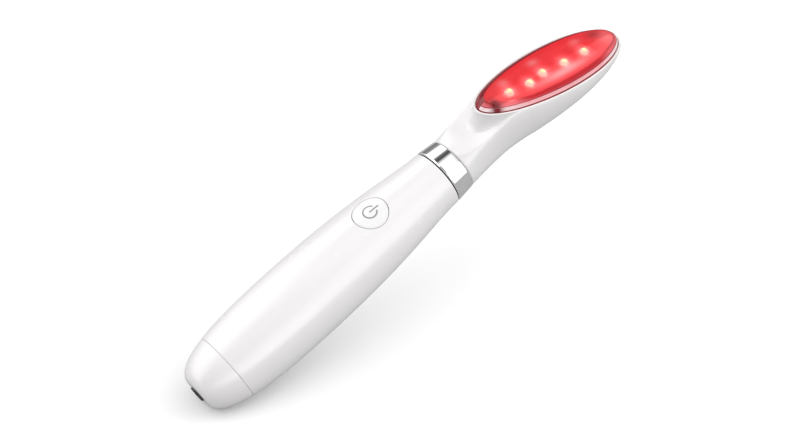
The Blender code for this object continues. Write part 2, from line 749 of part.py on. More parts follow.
def tact_switch(button, wand, black, metal):
    """The switch under the button, and its plunger, which travels with the button."""
    bottom = BOARD_TOP + GAP
    top = bottom + SWITCH_HEIGHT
    half = SWITCH_SIDE / 2
    body = box((BUTTON_AT - half, -half, bottom), (BUTTON_AT + half, half, top))
    switch = new_object("tact_switch", body, wand, metal)
    well = rod(PLUNGER_RADIUS + GAP, bottom + PLUNGER_FLOOR, top + CUT_EXTRA)
    well = upright(well, (BUTTON_AT, 0, 0))
    cut(switch, new_object("switch_well", well, wand))
    low = bottom + PLUNGER_FLOOR + GAP + BUTTON_TRAVEL
    plunger = upright(rod(PLUNGER_RADIUS, low, top + PLUNGER_REACH), (BUTTON_AT, 0, 0))
    keep_place_under(new_object("switch_plunger", plunger, wand, black), button)


def screw_holes(places, bottom, top):
    """Upright holes for screws, as one cutter."""
    holes = [upright(rod(SCREW_RADIUS + GAP, bottom, top), (along, 0, 0)) for along in places]
    return merge(*holes)


def screws(name, places, face, parent, metal):
    """Small screws whose heads lie on a face, numbered from the tail."""
    head = face + GAP
    outline = [
        (face - SCREW_LENGTH, 0.0),
        (face - SCREW_LENGTH, SCREW_RADIUS),
        (head, SCREW_RADIUS),
        (head, SCREW_HEAD_RADIUS),
        (head + SCREW_HEAD_HEIGHT / 2, SCREW_HEAD_RADIUS),
        (head + SCREW_HEAD_HEIGHT, SCREW_CROWN_RADIUS),
        (head + SCREW_HEAD_HEIGHT, 0.0),
    ]
    for i, along in enumerate(places):
        shape = upright(turned(outline, SMALL_SIDES), (along, 0, 0))
        new_object(f"{name}_{i + 1}", shape, parent, metal)


def inner_carrier(wand, plastic):
    """The moulded carrier: a shelf for the board, with posts, battery clips and end stops."""
    half = CARRIER_WIDTH / 2
    shelf = box((CARRIER_START, -half, CARRIER_BOTTOM), (CARRIER_END, half, CARRIER_TOP))
    carrier = new_object("inner_carrier", shelf, wand, plastic)
    clips = []
    opening = math.radians(CLIP_OPENING_DEGREES)
    inner = BATTERY_RADIUS + GAP
    outer = inner + CLIP_WALL
    step = (BATTERY_LENGTH - 2 * CLIP_INSET - CLIP_LENGTH) / (CLIP_COUNT - 1)
    for i in range(CLIP_COUNT):
        start = BATTERY_START + CLIP_INSET + i * step
        rings = []
        for along in (start, start + CLIP_LENGTH):
            ring = []
            there = range(CLIP_STEPS + 1)
            for radius, order in ((outer, there), (inner, reversed(there))):
                for k in order:
                    angle = opening / 2 + (2.0 * math.pi - opening) * k / CLIP_STEPS
                    y = radius * math.sin(angle)
                    z = BATTERY_HEIGHT - radius * math.cos(angle)
                    ring.append(Vector((along, y, z)))
            rings.append(ring)
        clips.append(loft(rings))
    join(carrier, new_object("battery_clips", merge(*clips), wand))

    posts = []
    for along in POST_SCREW_AT:
        post = rod(POST_RADIUS, CARRIER_TOP - EMBED, BOARD_BOTTOM - GAP)
        posts.append(upright(post, (along, 0, 0)))
    join(carrier, new_object("board_posts", merge(*posts), wand))
    stops = []
    for start in (BATTERY_START - GAP - CARRIER_THICKNESS, STOP_AT):
        low = (start, -STOP_WIDTH / 2, BATTERY_HEIGHT - BATTERY_NIPPLE_RADIUS)
        high = (start + CARRIER_THICKNESS, STOP_WIDTH / 2, CARRIER_BOTTOM + EMBED)
        stops.append(box(low, high))
    join(carrier, new_object("battery_stops", merge(*stops), wand))
    pilots = screw_holes(POST_SCREW_AT, BOARD_TOP - SCREW_LENGTH - GAP, BOARD_TOP)
    cut(carrier, new_object("post_pilots", pilots, wand))


def battery_cell(wand, wrap):
    """The round lithium cell, its raised end towards the head."""
    end = BATTERY_START + BATTERY_LENGTH
    nipple_end = end + BATTERY_NIPPLE_HEIGHT
    outline = [
        (BATTERY_START, 0.0),
        (BATTERY_START, BATTERY_RADIUS - BATTERY_EDGE),
        (BATTERY_START + BATTERY_EDGE, BATTERY_RADIUS),
        (end - BATTERY_EDGE, BATTERY_RADIUS),
        (end, BATTERY_RADIUS - BATTERY_EDGE),
        (end, BATTERY_NIPPLE_RADIUS),
        (nipple_end, BATTERY_NIPPLE_RADIUS),
        (nipple_end, 0.0),
    ]
    cell = turned(outline, INNER_SIDES)
    new_object("battery_cell", cell, wand, wrap, (0.0, 0.0, BATTERY_HEIGHT))


def main_board(wand, green, black, metal):
    """The circuit board with its two chips and the screws that hold it to the posts."""
    half = BOARD_WIDTH / 2
    board = new_object(
        "main_board",
        box((BOARD_START, -half, BOARD_BOTTOM), (BOARD_END, half, BOARD_TOP)),
        wand,
        green,
    )
    holes = screw_holes(POST_SCREW_AT, BOARD_BOTTOM - CUT_EXTRA, BOARD_TOP + CUT_EXTRA)
    cut(board, new_object("board_holes", holes, wand))
    screws("board_screw", POST_SCREW_AT, BOARD_TOP, wand, metal)
    chips = (
        ("control_chip", CONTROL_CHIP_SHARE, CONTROL_CHIP_LENGTH, CONTROL_CHIP_WIDTH),
        ("charge_chip", CHARGE_CHIP_SHARE, CHARGE_CHIP_LENGTH, CHARGE_CHIP_WIDTH),
    )
    first, last = POST_SCREW_AT
    for name, share, length, width in chips:
        along = first + share * (last - first)
        low = (along - length / 2, -width / 2, BOARD_TOP + GAP)
        high = (along + length / 2, width / 2, BOARD_TOP + GAP + CHIP_HEIGHT)
        new_object(name, box(low, high), wand, black)


def head_housing(wand, window, white):
    """The head: a bowl under the window, a neck with a thumb rest, and a spigot to the handle."""
    stations = head_stations()
    tip = stations[-1]
    nose = Vector((tip[0] + NOSE, 0.0, (tip[3] + tip[6]) / 2))
    rings = [head_ring(station) for station in stations]
    housing = new_object("head_housing", loft(rings, end_point=nose), wand, white)
    join(housing, new_object("window_pedestal", window_pedestal(), window))
    reach = WINDOW_HALF_LENGTH + RIM_OFFSET + CUT_EXTRA
    above = box((-reach, -BELLY_RADIUS, 0.0), (reach, BELLY_RADIUS, 2 * RIM_TRIM))
    cut(housing, new_object("rim_trim", above, window))

    start = COLLAR_AT - SPIGOT_IN_HANDLE
    groove = SPIGOT_RADIUS - NECK_SEAL_THICKNESS - GAP
    groove_start = COLLAR_AT - SEAL_GROOVE_FROM_RIM - NECK_SEAL_THICKNESS - 2 * GAP
    groove_end = COLLAR_AT - SEAL_GROOVE_FROM_RIM
    spigot = [(start, 0.0), (start, SPIGOT_RADIUS), (groove_start, SPIGOT_RADIUS)]
    spigot += [(groove_start, groove), (groove_end, groove), (groove_end, SPIGOT_RADIUS)]
    spigot += [(NECK_AT + EMBED, SPIGOT_RADIUS), (NECK_AT + EMBED, 0.0)]
    join(housing, new_object("spigot", turned(spigot), wand))

    inside = []
    for i, station in enumerate(stations):
        lid = NECK_LID if i < len(NECK_ROWS) else RIM_TRIM + BOWL_LID
        inside.append(head_ring(station, WALL, lid))
    for point in inside[0]:
        point.x = NECK_AT + WALL
    inside = inside[:len(NECK_ROWS) + HOLLOW_BOWL_ROWS]
    hollow = loft(inside, middle(inside[0]), middle(inside[-1]))
    cut(housing, new_object("head_hollow", hollow, wand))
    bore = rod(SPIGOT_BORE_RADIUS, start - CUT_EXTRA, NECK_AT + WALL + CUT_EXTRA, INNER_SIDES)
    cut(housing, new_object("spigot_bore", bore, wand))

    def aperture_floor(angle):
        share = (1.0 + math.cos(angle)) / 2
        return -(APERTURE_DEPTH + (APERTURE_TIP_DEPTH - APERTURE_DEPTH) * share)

    ledge = -WINDOW_SKIRT_DEPTH - GAP
    well = loft([oval(0.0, aperture_floor, **APERTURE), oval(0.0, ledge + GAP, **APERTURE)])
    cut(housing, new_object("window_aperture", well, window))
    cut(housing, new_object("window_recess", oval_block(GAP, ledge, CUT_EXTRA), window))

    solid = [head_ring(station, WALL - EMBED) for station in stations[:-2]]
    head_core = new_object("head_core", loft(solid, middle(solid[0]), middle(solid[-1])), wand)
    saddles = []
    for along in SADDLES_AT:
        low = (MOTOR_START + along, -BELLY_RADIUS, -BELLY_RADIUS)
        high = (MOTOR_START + along + SADDLE_THICKNESS, BELLY_RADIUS, MOTOR_HEIGHT)
        saddles.append(box(low, high))
    motor_saddles = new_object("motor_saddles", merge(*saddles), wand)
    keep_inside(motor_saddles, head_core)
    join(housing, motor_saddles)
    notch_radius = MOTOR_RADIUS + GAP + BOOT_WALL + GAP
    notch = rod(notch_radius, MOTOR_START - CUT_EXTRA, MOTOR_START + MOTOR_LENGTH, INNER_SIDES)
    bmesh.ops.translate(notch, verts=notch.verts, vec=(0.0, 0.0, MOTOR_HEIGHT))
    cut(housing, new_object("boot_space", notch, wand))

    underside = -LIGHT_BOARD_DEPTH - LIGHT_BOARD_THICKNESS - GAP
    pilot_floor = -LIGHT_BOARD_DEPTH - SCREW_LENGTH - GAP
    outline = [
        (-2 * BELLY_RADIUS, 0.0),
        (-2 * BELLY_RADIUS, BOSS_RADIUS),
        (underside, BOSS_RADIUS),
        (underside, SCREW_RADIUS + GAP),
        (pilot_floor, SCREW_RADIUS + GAP),
        (pilot_floor, 0.0),
    ]
    bosses = [upright(turned(outline, SMALL_SIDES), (along, 0, 0)) for along in board_places(BOSSES_AT)]
    boss_posts = new_object("light_bosses", merge(*bosses), window)
    keep_inside(boss_posts, head_core)
    join(housing, boss_posts)
    near_end = LEDGE_NEAR - WINDOW_HALF_LENGTH
    shelf = box(
        (near_end - EMBED, -LIGHT_SHELF_WIDTH / 2, underside - LIGHT_SHELF_THICKNESS),
        (near_end + LIGHT_SHELF_LENGTH, LIGHT_SHELF_WIDTH / 2, underside),
    )
    join(housing, new_object("light_shelf", shelf, window))


def window_pedestal():
    """The wall under the window's near end, which flares out into the thumb rest."""
    first = math.radians(PEDESTAL_START_DEGREES)
    rings = []
    for i in range(PEDESTAL_LAYERS + 1):
        share = i / PEDESTAL_LAYERS
        ring = []
        for k in range(PEDESTAL_STEPS + 1):
            angle = first + (2.0 * math.pi - 2.0 * first) * k / PEDESTAL_STEPS
            back = max(0.0, -math.cos(angle))
            edge = math.sin(math.pi * k / PEDESTAL_STEPS) **PEDESTAL_END_POWER
            offset = RIM_OFFSET - PEDESTAL_END_INSET * (1.0 - edge)
            egg = 1.0 + WINDOW_EGG * math.cos(angle)
            x = (WINDOW_HALF_LENGTH + offset) * math.cos(angle)
            y = (WINDOW_HALF_WIDTH + offset) * math.sin(angle) * egg
            x -= PEDESTAL_FLARE * share**2 * back**2
            y *= 1.0 - PEDESTAL_TAPER * share
            depth = PEDESTAL_DEPTH * back**2 + PEDESTAL_FOOT + RIM_TRIM
            ring.append(Vector((x, y, RIM_TRIM - share * depth)))
        rings.append(ring)
    return loft(rings)


def light_window(window, red):
    """The raised red window: a hollow lid with a stepped side and a flat top."""
    side = WINDOW_SIDE_HEIGHT
    top = side + WINDOW_BEVEL_HEIGHT
    top_inset = WINDOW_SIDE_INSET + WINDOW_BEVEL_INSET
    ceiling = top - WINDOW_WALL
    rings = [
        oval(-WINDOW_WALL - WINDOW_SIDE_INSET - WINDOW_BEVEL_INSET, ceiling),
        oval(-WINDOW_WALL - WINDOW_SIDE_INSET, ceiling - WINDOW_BEVEL_HEIGHT / 2),
        oval(-WINDOW_WALL, -WINDOW_SKIRT_DEPTH),
        oval(0.0, -WINDOW_SKIRT_DEPTH),
        oval(0.0, WINDOW_EASE),
        oval(-WINDOW_SIDE_INSET, side),
        oval(-top_inset, top),
    ]
    new_object("light_window", loft(rings), window, red)


def board_places(shares):
    """Places along the light board in the window's frame, from shares of its half length."""
    return [APERTURE["shift"] + share * APERTURE["half_length"] for share in shares]


def light_board(window, board_white, clear, metal):
    """The oval board under the window, its lights and its two screws."""
    board_top = -LIGHT_BOARD_DEPTH
    board_bottom = board_top - LIGHT_BOARD_THICKNESS
    plate = oval_block(-LIGHT_BOARD_EDGE_GAP, board_bottom, board_top, **APERTURE)
    board = new_object("light_board", plate, window, board_white)
    places = board_places(BOSSES_AT)
    holes = screw_holes(places, board_bottom - CUT_EXTRA, board_top + CUT_EXTRA)
    cut(board, new_object("light_board_holes", holes, window))
    screws("light_board_screw", places, board_top, window, metal)
    bottom = board_top + GAP
    outline = [
        (bottom, 0.0),
        (bottom, LIGHT_RADIUS),
        (bottom + LIGHT_SIDE_HEIGHT, LIGHT_RADIUS),
        (bottom + LIGHT_SHOULDER_HEIGHT, LIGHT_SHOULDER_RADIUS),
        (bottom + LIGHT_HEIGHT, 0.0),
    ]
    for i, (share, across) in enumerate(LIGHTS_AT):
        along = board_places([share])[0]
        light = upright(turned(outline, SMALL_SIDES), (along, across, 0))
        new_object(f"light_{i + 1}", light, window, clear)


def vibration_motor(wand, rotor, metal, rubber, brass):
    """The small motor in its rubber boot, with a shaft and an off-centre weight."""
    end = MOTOR_START + MOTOR_LENGTH
    nose_end = end + MOTOR_NOSE_LENGTH
    bore = SHAFT_RADIUS + GAP
    bore_floor = nose_end - SHAFT_IN_MOTOR - GAP
    outline = [
        (MOTOR_START, 0.0),
        (MOTOR_START, MOTOR_RADIUS - MOTOR_EDGE),
        (MOTOR_START + MOTOR_EDGE, MOTOR_RADIUS),
        (end - MOTOR_EDGE, MOTOR_RADIUS),
        (end, MOTOR_RADIUS - MOTOR_EDGE),
        (end, MOTOR_NOSE_RADIUS),
        (nose_end, MOTOR_NOSE_RADIUS),
        (nose_end, bore),
        (bore_floor, bore),
        (bore_floor, 0.0),
    ]
    place = (0.0, 0.0, MOTOR_HEIGHT)
    new_object("vibration_motor", turned(outline, INNER_SIDES), wand, metal, place)
    boot_inner = MOTOR_RADIUS + GAP
    boot_start = MOTOR_START + (MOTOR_LENGTH - BOOT_LENGTH) / 2
    boot_end = boot_start + BOOT_LENGTH
    boot = tube(boot_inner + BOOT_WALL, boot_inner, boot_start, boot_end, INNER_SIDES)
    new_object("motor_boot", boot, wand, rubber, place)

    weight_start = nose_end + GAP
    weight_end = weight_start + WEIGHT_LENGTH
    shaft_start = nose_end - SHAFT_IN_MOTOR - rotor_x()
    shaft_end = weight_end - WEIGHT_CAP - GAP - rotor_x()
    new_object("motor_shaft", rod(SHAFT_RADIUS, shaft_start, shaft_end), rotor, metal)
    ring = []
    for i in range(WEIGHT_STEPS + 1):
        angle = math.pi * i / WEIGHT_STEPS
        ring.append((WEIGHT_RADIUS * math.cos(angle), -WEIGHT_RADIUS * math.sin(angle)))
    hub_steps = WEIGHT_STEPS // 2
    for i in range(hub_steps + 1):
        angle = math.pi * i / hub_steps
        ring.append((-WEIGHT_HUB_RADIUS * math.cos(angle), WEIGHT_HUB_RADIUS * math.sin(angle)))
    faces = []
    for along in (weight_start - rotor_x(), weight_end - rotor_x()):
        faces.append([Vector((along, y, z)) for y, z in ring])
    weight = new_object("eccentric_weight", loft(faces), rotor, brass)
    hole = rod(SHAFT_RADIUS + GAP, weight_start - rotor_x() - CUT_EXTRA, shaft_end + GAP)
    cut(weight, new_object("weight_bore", hole, rotor))


def rotor_x():
    """The distance from the tail's end to the rotor's own origin, on the motor's nose."""
    return MOTOR_START + MOTOR_LENGTH


def lead(name, wand, insulation, route):
    """An insulated lead along a smooth curve through its route's points."""
    points = []
    for i in range(len(route) - 1):
        before = Vector(route[max(i - 1, 0)])
        start, end = Vector(route[i]), Vector(route[i + 1])
        after = Vector(route[min(i + 2, len(route) - 1)])
        for k in range(LEAD_STEPS):
            share = k / LEAD_STEPS
            points.append(
                0.5 * (2 * start + (end - before) * share
                       + (2 * before - 5 * start + 4 * end - after) * share**2
                       + (3 * start - before - 3 * end + after) * share**3)
            )
    points.append(Vector(route[-1]))
    curve = bpy.data.curves.new(name, "CURVE")
    curve.dimensions = "3D"
    curve.bevel_depth = LEAD_RADIUS
    curve.bevel_resolution = 1
    curve.use_fill_caps = True
    spline = curve.splines.new("POLY")
    spline.points.add(len(points) - 1)
    for slot, point in zip(spline.points, points):
        slot.co = (*point, 1.0)
    curve.materials.append(insulation)
    made = bpy.data.objects.new(name, curve)
    bpy.context.scene.collection.objects.link(made)
    made.parent = wand


def leads(wand, red, black, jack_end):
    """The pairs of leads: from the socket, the cell, the motor and the light board to the board."""
    pad = BOARD_TOP + GAP + LEAD_RADIUS
    side = LEAD_SPACING / 2
    cell = BATTERY_HEIGHT
    in_cap = CAP_SPIGOT_RADIUS - CAP_SPIGOT_WALL - GAP - LEAD_RADIUS
    in_spigot = SPIGOT_BORE_RADIUS - 2 * GAP - LEAD_RADIUS
    over_boot = MOTOR_HEIGHT + MOTOR_RADIUS + GAP + BOOT_WALL + GAP + LEAD_RADIUS
    for name, insulation, sign in (("red", red, 1), ("black", black, -1)):
        y = sign * side
        lead(f"jack_lead_{name}", wand, insulation, (
            (jack_end + GAP + 0.1 * MM, y, 0.0),
            (jack_end + 1.4 * MM, y, in_cap * 0.25),
            (jack_end + 2.6 * MM, y * 1.3, in_cap * 0.88),
            (CARRIER_START + 1.3 * MM, y * 1.9, pad - LEAD_RISE),
            (BOARD_START - 1.6 * MM, y * 2.4, pad + 0.3 * MM),
            (BOARD_START + 3.0 * MM, y * 2.4, pad),
        ))
    lead("battery_lead_black", wand, black, (
        (BATTERY_START - GAP - 1.9 * MM, 0.0, cell),
        (BATTERY_START - 3.6 * MM, 0.0, cell + 1.5 * MM),
        (CARRIER_START - 0.9 * MM, 0.0, CARRIER_TOP),
        (BOARD_START - 3.0 * MM, 0.0, pad + 0.4 * MM),
        (BOARD_START + 2.0 * MM, 0.0, pad),
    ))
    cell_end = STOP_AT + CARRIER_THICKNESS + GAP
    lead("battery_lead_red", wand, red, (
        (cell_end + GAP, 0.0, cell),
        (cell_end + 2.5 * MM, 0.0, cell + 1.2 * MM),
        (BOARD_END - 0.2 * MM, 0.0, CARRIER_BOTTOM),
        (BOARD_END + 1.5 * MM, 0.0, pad - 1.2 * MM),
        (BOARD_END - 0.2 * MM, 0.0, pad + 0.4 * MM),
        (BOARD_END - 2.4 * MM, 0.0, pad),
    ))
    for name, insulation, sign in (("red", red, 1), ("black", black, -1)):
        y = sign * side
        lead(f"motor_lead_{name}", wand, insulation, (
            (BOARD_END - 2.4 * MM, y, pad),
            (BOARD_END + 2.0 * MM, y, pad - 1.0 * MM),
            (COLLAR_AT - SPIGOT_IN_HANDLE, y, in_spigot * 0.43),
            (COLLAR_AT, y * 0.9, in_spigot * 0.08),
            (MOTOR_START - GAP - 2.5 * MM, y * 0.9, MOTOR_HEIGHT),
            (MOTOR_START - GAP - 0.1 * MM, y * 0.9, MOTOR_HEIGHT),
        ))
        lead(f"light_lead_{name}", wand, insulation, (
            (BOARD_END - 2.4 * MM, y * 2.2, pad),
            (BOARD_END + 2.0 * MM, y * 2.2, pad - 0.6 * MM),
            (COLLAR_AT - SPIGOT_IN_HANDLE, y * 1.4, in_spigot * 0.82),
            (COLLAR_AT, y * 1.2, in_spigot * 0.87),
            (MOTOR_START - 2.0 * MM, y, (in_spigot + over_boot) / 2),
            (MOTOR_START + 1.0 * MM, y, over_boot),
            (MOTOR_START + MOTOR_LENGTH * 0.7, y, over_boot + LEAD_RISE),
            (MOTOR_START + MOTOR_LENGTH, y, over_boot + LEAD_RISE),
        ))


def build():
    """Builds the wand."""
    clear_scene()
    white = material("pearl white", (0.86, 0.85, 0.85), 0.28)
    grey = material("button white", (0.85, 0.85, 0.85), 0.32)
    chrome = material("chrome", (0.82, 0.82, 0.84), 0.06, 1.0)
    red = material("window red", (0.9, 0.05, 0.08), 0.08, 0.0, 0.8)
    black = material("black plastic", (0.03, 0.03, 0.03), 0.5)
    rubber = material("black rubber", (0.04, 0.04, 0.04), 0.75)
    natural = material("carrier plastic", (0.72, 0.71, 0.68), 0.5)
    green = material("circuit board", (0.02, 0.2, 0.08), 0.45)
    board_white = material("light board", (0.9, 0.9, 0.88), 0.4)
    clear = material("light dome", (0.95, 0.85, 0.5), 0.15)
    steel = material("steel", (0.6, 0.6, 0.62), 0.3, 1.0)
    brass = material("tungsten brass", (0.62, 0.5, 0.3), 0.35, 1.0)
    wrap = material("cell wrap", (0.1, 0.25, 0.55), 0.4)
    lead_red = material("red lead", (0.6, 0.03, 0.03), 0.5)
    lead_black = material("black lead", (0.03, 0.03, 0.03), 0.5)

    wand = empty("wand", (-WAND_LENGTH / 2, 0.0, AXIS_HEIGHT))
    window = empty("window", (WINDOW_AT, 0.0, WINDOW_HEIGHT), (0.0, WINDOW_TILT, 0.0), wand)
    button = empty("button", (BUTTON_AT, 0.0, BOARD_TOP), (0.0, 0.0, 0.0), wand)
    rotor = empty("rotor", (rotor_x(), 0.0, MOTOR_HEIGHT), (0.0, 0.0, 0.0), wand)

    handle_shell(wand, white)
    tail_cap(wand, white)
    tail_seal_at = SEAM_AT + SEAL_GROOVE_FROM_RIM + GAP + TAIL_SEAL_THICKNESS / 2
    ring_seal("tail_seal", wand, rubber, tail_seal_at, CAP_SPIGOT_RADIUS, TAIL_SEAL_THICKNESS)
    jack_end = charging_jack(wand, black, steel)
    inner_carrier(wand, natural)
    battery_cell(wand, wrap)
    main_board(wand, green, black, steel)
    tact_switch(button, wand, black, steel)
    power_button(button, wand, grey)
    collar_ring(wand, chrome)
    head_housing(wand, window, white)
    neck_seal_at = COLLAR_AT - SEAL_GROOVE_FROM_RIM - GAP - NECK_SEAL_THICKNESS / 2
    ring_seal("neck_seal", wand, rubber, neck_seal_at, SPIGOT_RADIUS, NECK_SEAL_THICKNESS)
    light_window(window, red)
    light_board(window, board_white, clear, steel)
    vibration_motor(wand, rotor, steel, rubber, brass)
    leads(wand, lead_red, lead_black, jack_end)


build()
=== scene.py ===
"""Looks of the eye care wand: smooth pieces, materials, light and the photograph's camera.

Sizes are in millimetres in the wand's own layout: along from the tail's end, across, and up from the
handle's axis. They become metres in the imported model's frame where points are placed.
"""
import json
from math import atan2, cos, hypot, inf, pi, radians, sin, sqrt, tan

import bmesh
import bpy
from mathutils import Matrix, Vector

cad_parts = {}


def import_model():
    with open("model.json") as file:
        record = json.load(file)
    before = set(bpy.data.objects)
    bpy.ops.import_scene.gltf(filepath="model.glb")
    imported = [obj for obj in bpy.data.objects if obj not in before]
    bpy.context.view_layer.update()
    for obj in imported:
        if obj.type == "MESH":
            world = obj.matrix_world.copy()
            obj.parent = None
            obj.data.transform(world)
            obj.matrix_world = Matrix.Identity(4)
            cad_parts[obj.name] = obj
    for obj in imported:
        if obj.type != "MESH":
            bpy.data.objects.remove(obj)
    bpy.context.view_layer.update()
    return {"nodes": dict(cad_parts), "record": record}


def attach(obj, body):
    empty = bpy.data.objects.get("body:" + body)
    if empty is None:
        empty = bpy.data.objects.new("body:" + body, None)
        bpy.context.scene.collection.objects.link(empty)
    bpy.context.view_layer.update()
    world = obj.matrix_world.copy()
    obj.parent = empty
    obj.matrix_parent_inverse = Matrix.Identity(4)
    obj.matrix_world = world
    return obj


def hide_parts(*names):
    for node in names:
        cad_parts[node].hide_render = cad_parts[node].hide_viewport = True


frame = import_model()

PER_METRE = 1000.0

# Handle
GAP = 0.3
WALL = 1.6
BODY_SIDES = 32
BELLY_RADIUS = 11.5
BELLY_AT = 36.0
TAIL_FLAT_RADIUS = 3.0
TAIL_EASE = 2.4
TAIL_SWELL = 11.0
SEAM_AT = 10.5
COLLAR_AT = 86.2
FRONT_RADIUS = 8.35
FRONT_SLOPE_LENGTH = 11.2
FRONT_SLOPE_RISE = 0.4
BELLY_RUN = 30.0
CAP_SEAT_WALL = 1.55
CAP_SPIGOT_LENGTH = 4.2
CAP_SPIGOT_WALL = 2.2
CAP_END_WALL = 2.0
CAP_FLOOR_SLOPE = 2.6
JACK_RADIUS = 3.4
JACK_BORE_RADIUS = 1.9
JACK_LENGTH = 9.5
JACK_BORE_DEPTH = 7.5
JACK_PIN_RADIUS = 0.65
JACK_PIN_SEAT_DEPTH = 1.2
JACK_FRONT_EDGE = 0.2
JACK_BACK_EDGE = 0.3
LIP_HEIGHT = 0.45
LIP_RADIUS = 2.3
LIP_GAP = 0.02
COLLAR_LENGTH = 5.6
COLLAR_TAPER = 0.5
COLLAR_WALL = 1.25
COLLAR_EDGE = 0.3
SPIGOT_WALL = 1.5
SPIGOT_IN_HANDLE = 8.0
MOUTH_EXTRA = 1.2
NECK_STEP = 0.1
SPIGOT_EDGE = 0.2
SPIGOT_OVERLAP = 1.0

# Button
BUTTON_AT = 64.0
BUTTON_LENGTH = 9.7
BUTTON_WIDTH = 9.4
BUTTON_SKIRT_WALL = 1.1
BUTTON_SKIRT_BOTTOM = 7.36
BUTTON_CEILING = 8.46
SYMBOL_RADIUS = 1.85
SYMBOL_STROKE = 0.4
SYMBOL_STEM = 2.75
SYMBOL_OPENING = radians(31.0)
SYMBOL_HEIGHT = 0.03

# Window and the head round it
WINDOW_AT = 129.0
WINDOW_HEIGHT = 2.7
WINDOW_TILT = radians(20.8)
WINDOW_HALF_LENGTH = 26.5
WINDOW_HALF_WIDTH = 8.4
WINDOW_EGG = 0.09
RIM_OFFSET = 0.9
WINDOW_SKIRT_DEPTH = 1.0
WINDOW_SIDE_HEIGHT = 1.2
WINDOW_SIDE_INSET = 0.6
WINDOW_BEVEL_HEIGHT = 1.0
WINDOW_BEVEL_INSET = 1.35
WINDOW_WALL = 1.2
WINDOW_CROWN = 0.15
WINDOW_FOOT = 0.1
WINDOW_EDGE = 0.12
WINDOW_TOP_EDGE = 0.3
WINDOW_TOP_BAND = 1.0
APERTURE = {"half_length": 21.5, "half_width": 7.1, "shift": -3.5}
APERTURE_CUT = 4.0
LIGHT_BOARD_DEPTH = 1.6
LENS_OUTLINE = ((0.0, 1.3), (0.25, 1.3), (0.3, 1.05), (0.55, 1.02))
LENS_DOME_RISE = 0.65
LENS_DOME_ANGLES = (0.2, 0.45, 0.7, 0.95, 1.2, 1.4)
LIGHTS_AT = ((-14.4, 0.6), (-7.2, 0.0), (-1.3, 0.9), (6.8, 0.4), (14.8, 0.4))

# Neck: share of its length, then width, keel, shoulder, ridge, top and waist against a round neck's.
# Bowl: angle round the window in degrees, then bulge past the rim, and waist and keel under it.
NECK_ROWS = (
    (0.0, 0.0, 0.0, -4.23, -0.85, 0.0, 0.0),
    (0.133, -0.15, -0.15, -3.05, -0.75, -0.5, 0.3),
    (0.267, -0.25, -0.25, -2.3, -0.6, -0.75, 0.6),
    (0.4, -0.27, -0.27, -1.85, -0.4, -0.55, 1.0),
    (0.533, -0.25, -0.2, -1.6, 0.1, -0.05, 1.35),
    (0.667, -0.1, 0.0, -1.5, 0.75, 0.55, 1.7),
    (0.8, 0.2, 0.45, -1.35, 1.25, 1.05, 1.95),
)
BOWL_ROWS = (
    (125.0, 1.25, 6.4, 17.35), (110.0, 0.7, 4.6, 16.45), (95.0, 0.43, 2.95, 14.9),
    (80.0, 0.3, 2.1, 12.45), (65.0, 0.1, 1.5, 10.0), (50.0, 0.05, 0.9, 7.3), (38.0, 0.02, 0.6, 5.0),
    (26.0, 0.01, 0.4, 3.1), (14.0, 0.0, 0.25, 1.7), (5.0, 0.0, 0.15, 0.9), (0.0, 0.0, 0.1, 0.5),
)
SHOULDER_ANGLE = radians(63.0)
SHOULDER_EASE = 0.55
FILLET_REACH = 2.7
FILLET_LEAN = 0.38
FILLET_POWER = 2.6
FILLET_CROWD = 1.3
FILLET_INSET = 0.1
FILLET_SINK = 0.03

# The thumb rest's skin sinks a little under the fillet. From a step off the shoulder it also stays
# under the light board, and from an earlier step where the fillet covers it.
TOP_SINK = 0.05
TOP_SINK_POWER = 8
BOARD_ROOM = 1.5
FILLET_COVERS_FROM = 0.93
HELD_FROM = 4
HELD_UNDER_FILLET = 2

# The window's cloudy body in its middle and at its ends, and its clear part, by height over the rim.
# The flange's pale pink is partly the thin plastic's own colour and partly painted highlight, nearly
# white at the ends.
WINDOW_BODY = (
    (-1.0, (0.2, 0.01, 0.02)), (0.1, (0.25, 0.02, 0.03)), (0.22, (1.0, 0.62, 0.65)),
    (0.9, (1.0, 0.5, 0.53)), (1.06, (0.95, 0.42, 0.45)), (1.12, (0.2, 0.01, 0.02)),
    (1.22, (0.2, 0.01, 0.02)), (1.3, (0.6, 0.07, 0.085)), (1.6, (0.46, 0.015, 0.022)),
    (2.0, (0.48, 0.022, 0.03)), (2.16, (1.0, 0.03, 0.04)),
)
WINDOW_ENDS = (
    (-1.0, (0.2, 0.01, 0.02)), (0.1, (0.25, 0.02, 0.03)), (0.22, (1.0, 0.95, 0.96)),
    (0.9, (1.0, 0.85, 0.87)), (1.06, (1.0, 0.7, 0.72)), (1.12, (0.25, 0.01, 0.02)),
    (1.22, (0.25, 0.01, 0.02)), (1.3, (0.95, 0.25, 0.28)), (1.9, (0.85, 0.14, 0.16)),
    (2.04, (0.22, 0.01, 0.02)), (2.13, (0.22, 0.01, 0.02)), (2.2, (1.0, 0.05, 0.06)),
)
WINDOW_GLASS = (
    (0.1, (0.5, 0.1, 0.12)), (0.25, (0.9, 0.6, 0.62)), (1.0, (0.9, 0.6, 0.62)),
    (1.15, (0.4, 0.05, 0.06)), (1.3, (0.6, 0.1, 0.12)), (1.9, (0.55, 0.08, 0.1)),
    (2.16, (0.9, 0.42, 0.43)),
)
WINDOW_RANGE = (-1.0, 3.0)
WINDOW_CLEARNESS = 0.45
# The window is no lamp: its glow is painted light for the lights shining through it, more on the flange.
WINDOW_GLOW = 0.25
FLANGE_GLOW = 0.3
FLANGE_TO = 1.1
TOP_FROM = 2.0
MIDDLE_REACH = 13.0
ENDS_FROM = 20.0
GLASS_ROUGHNESS = 0.06
GLASS_INDEX = 1.4
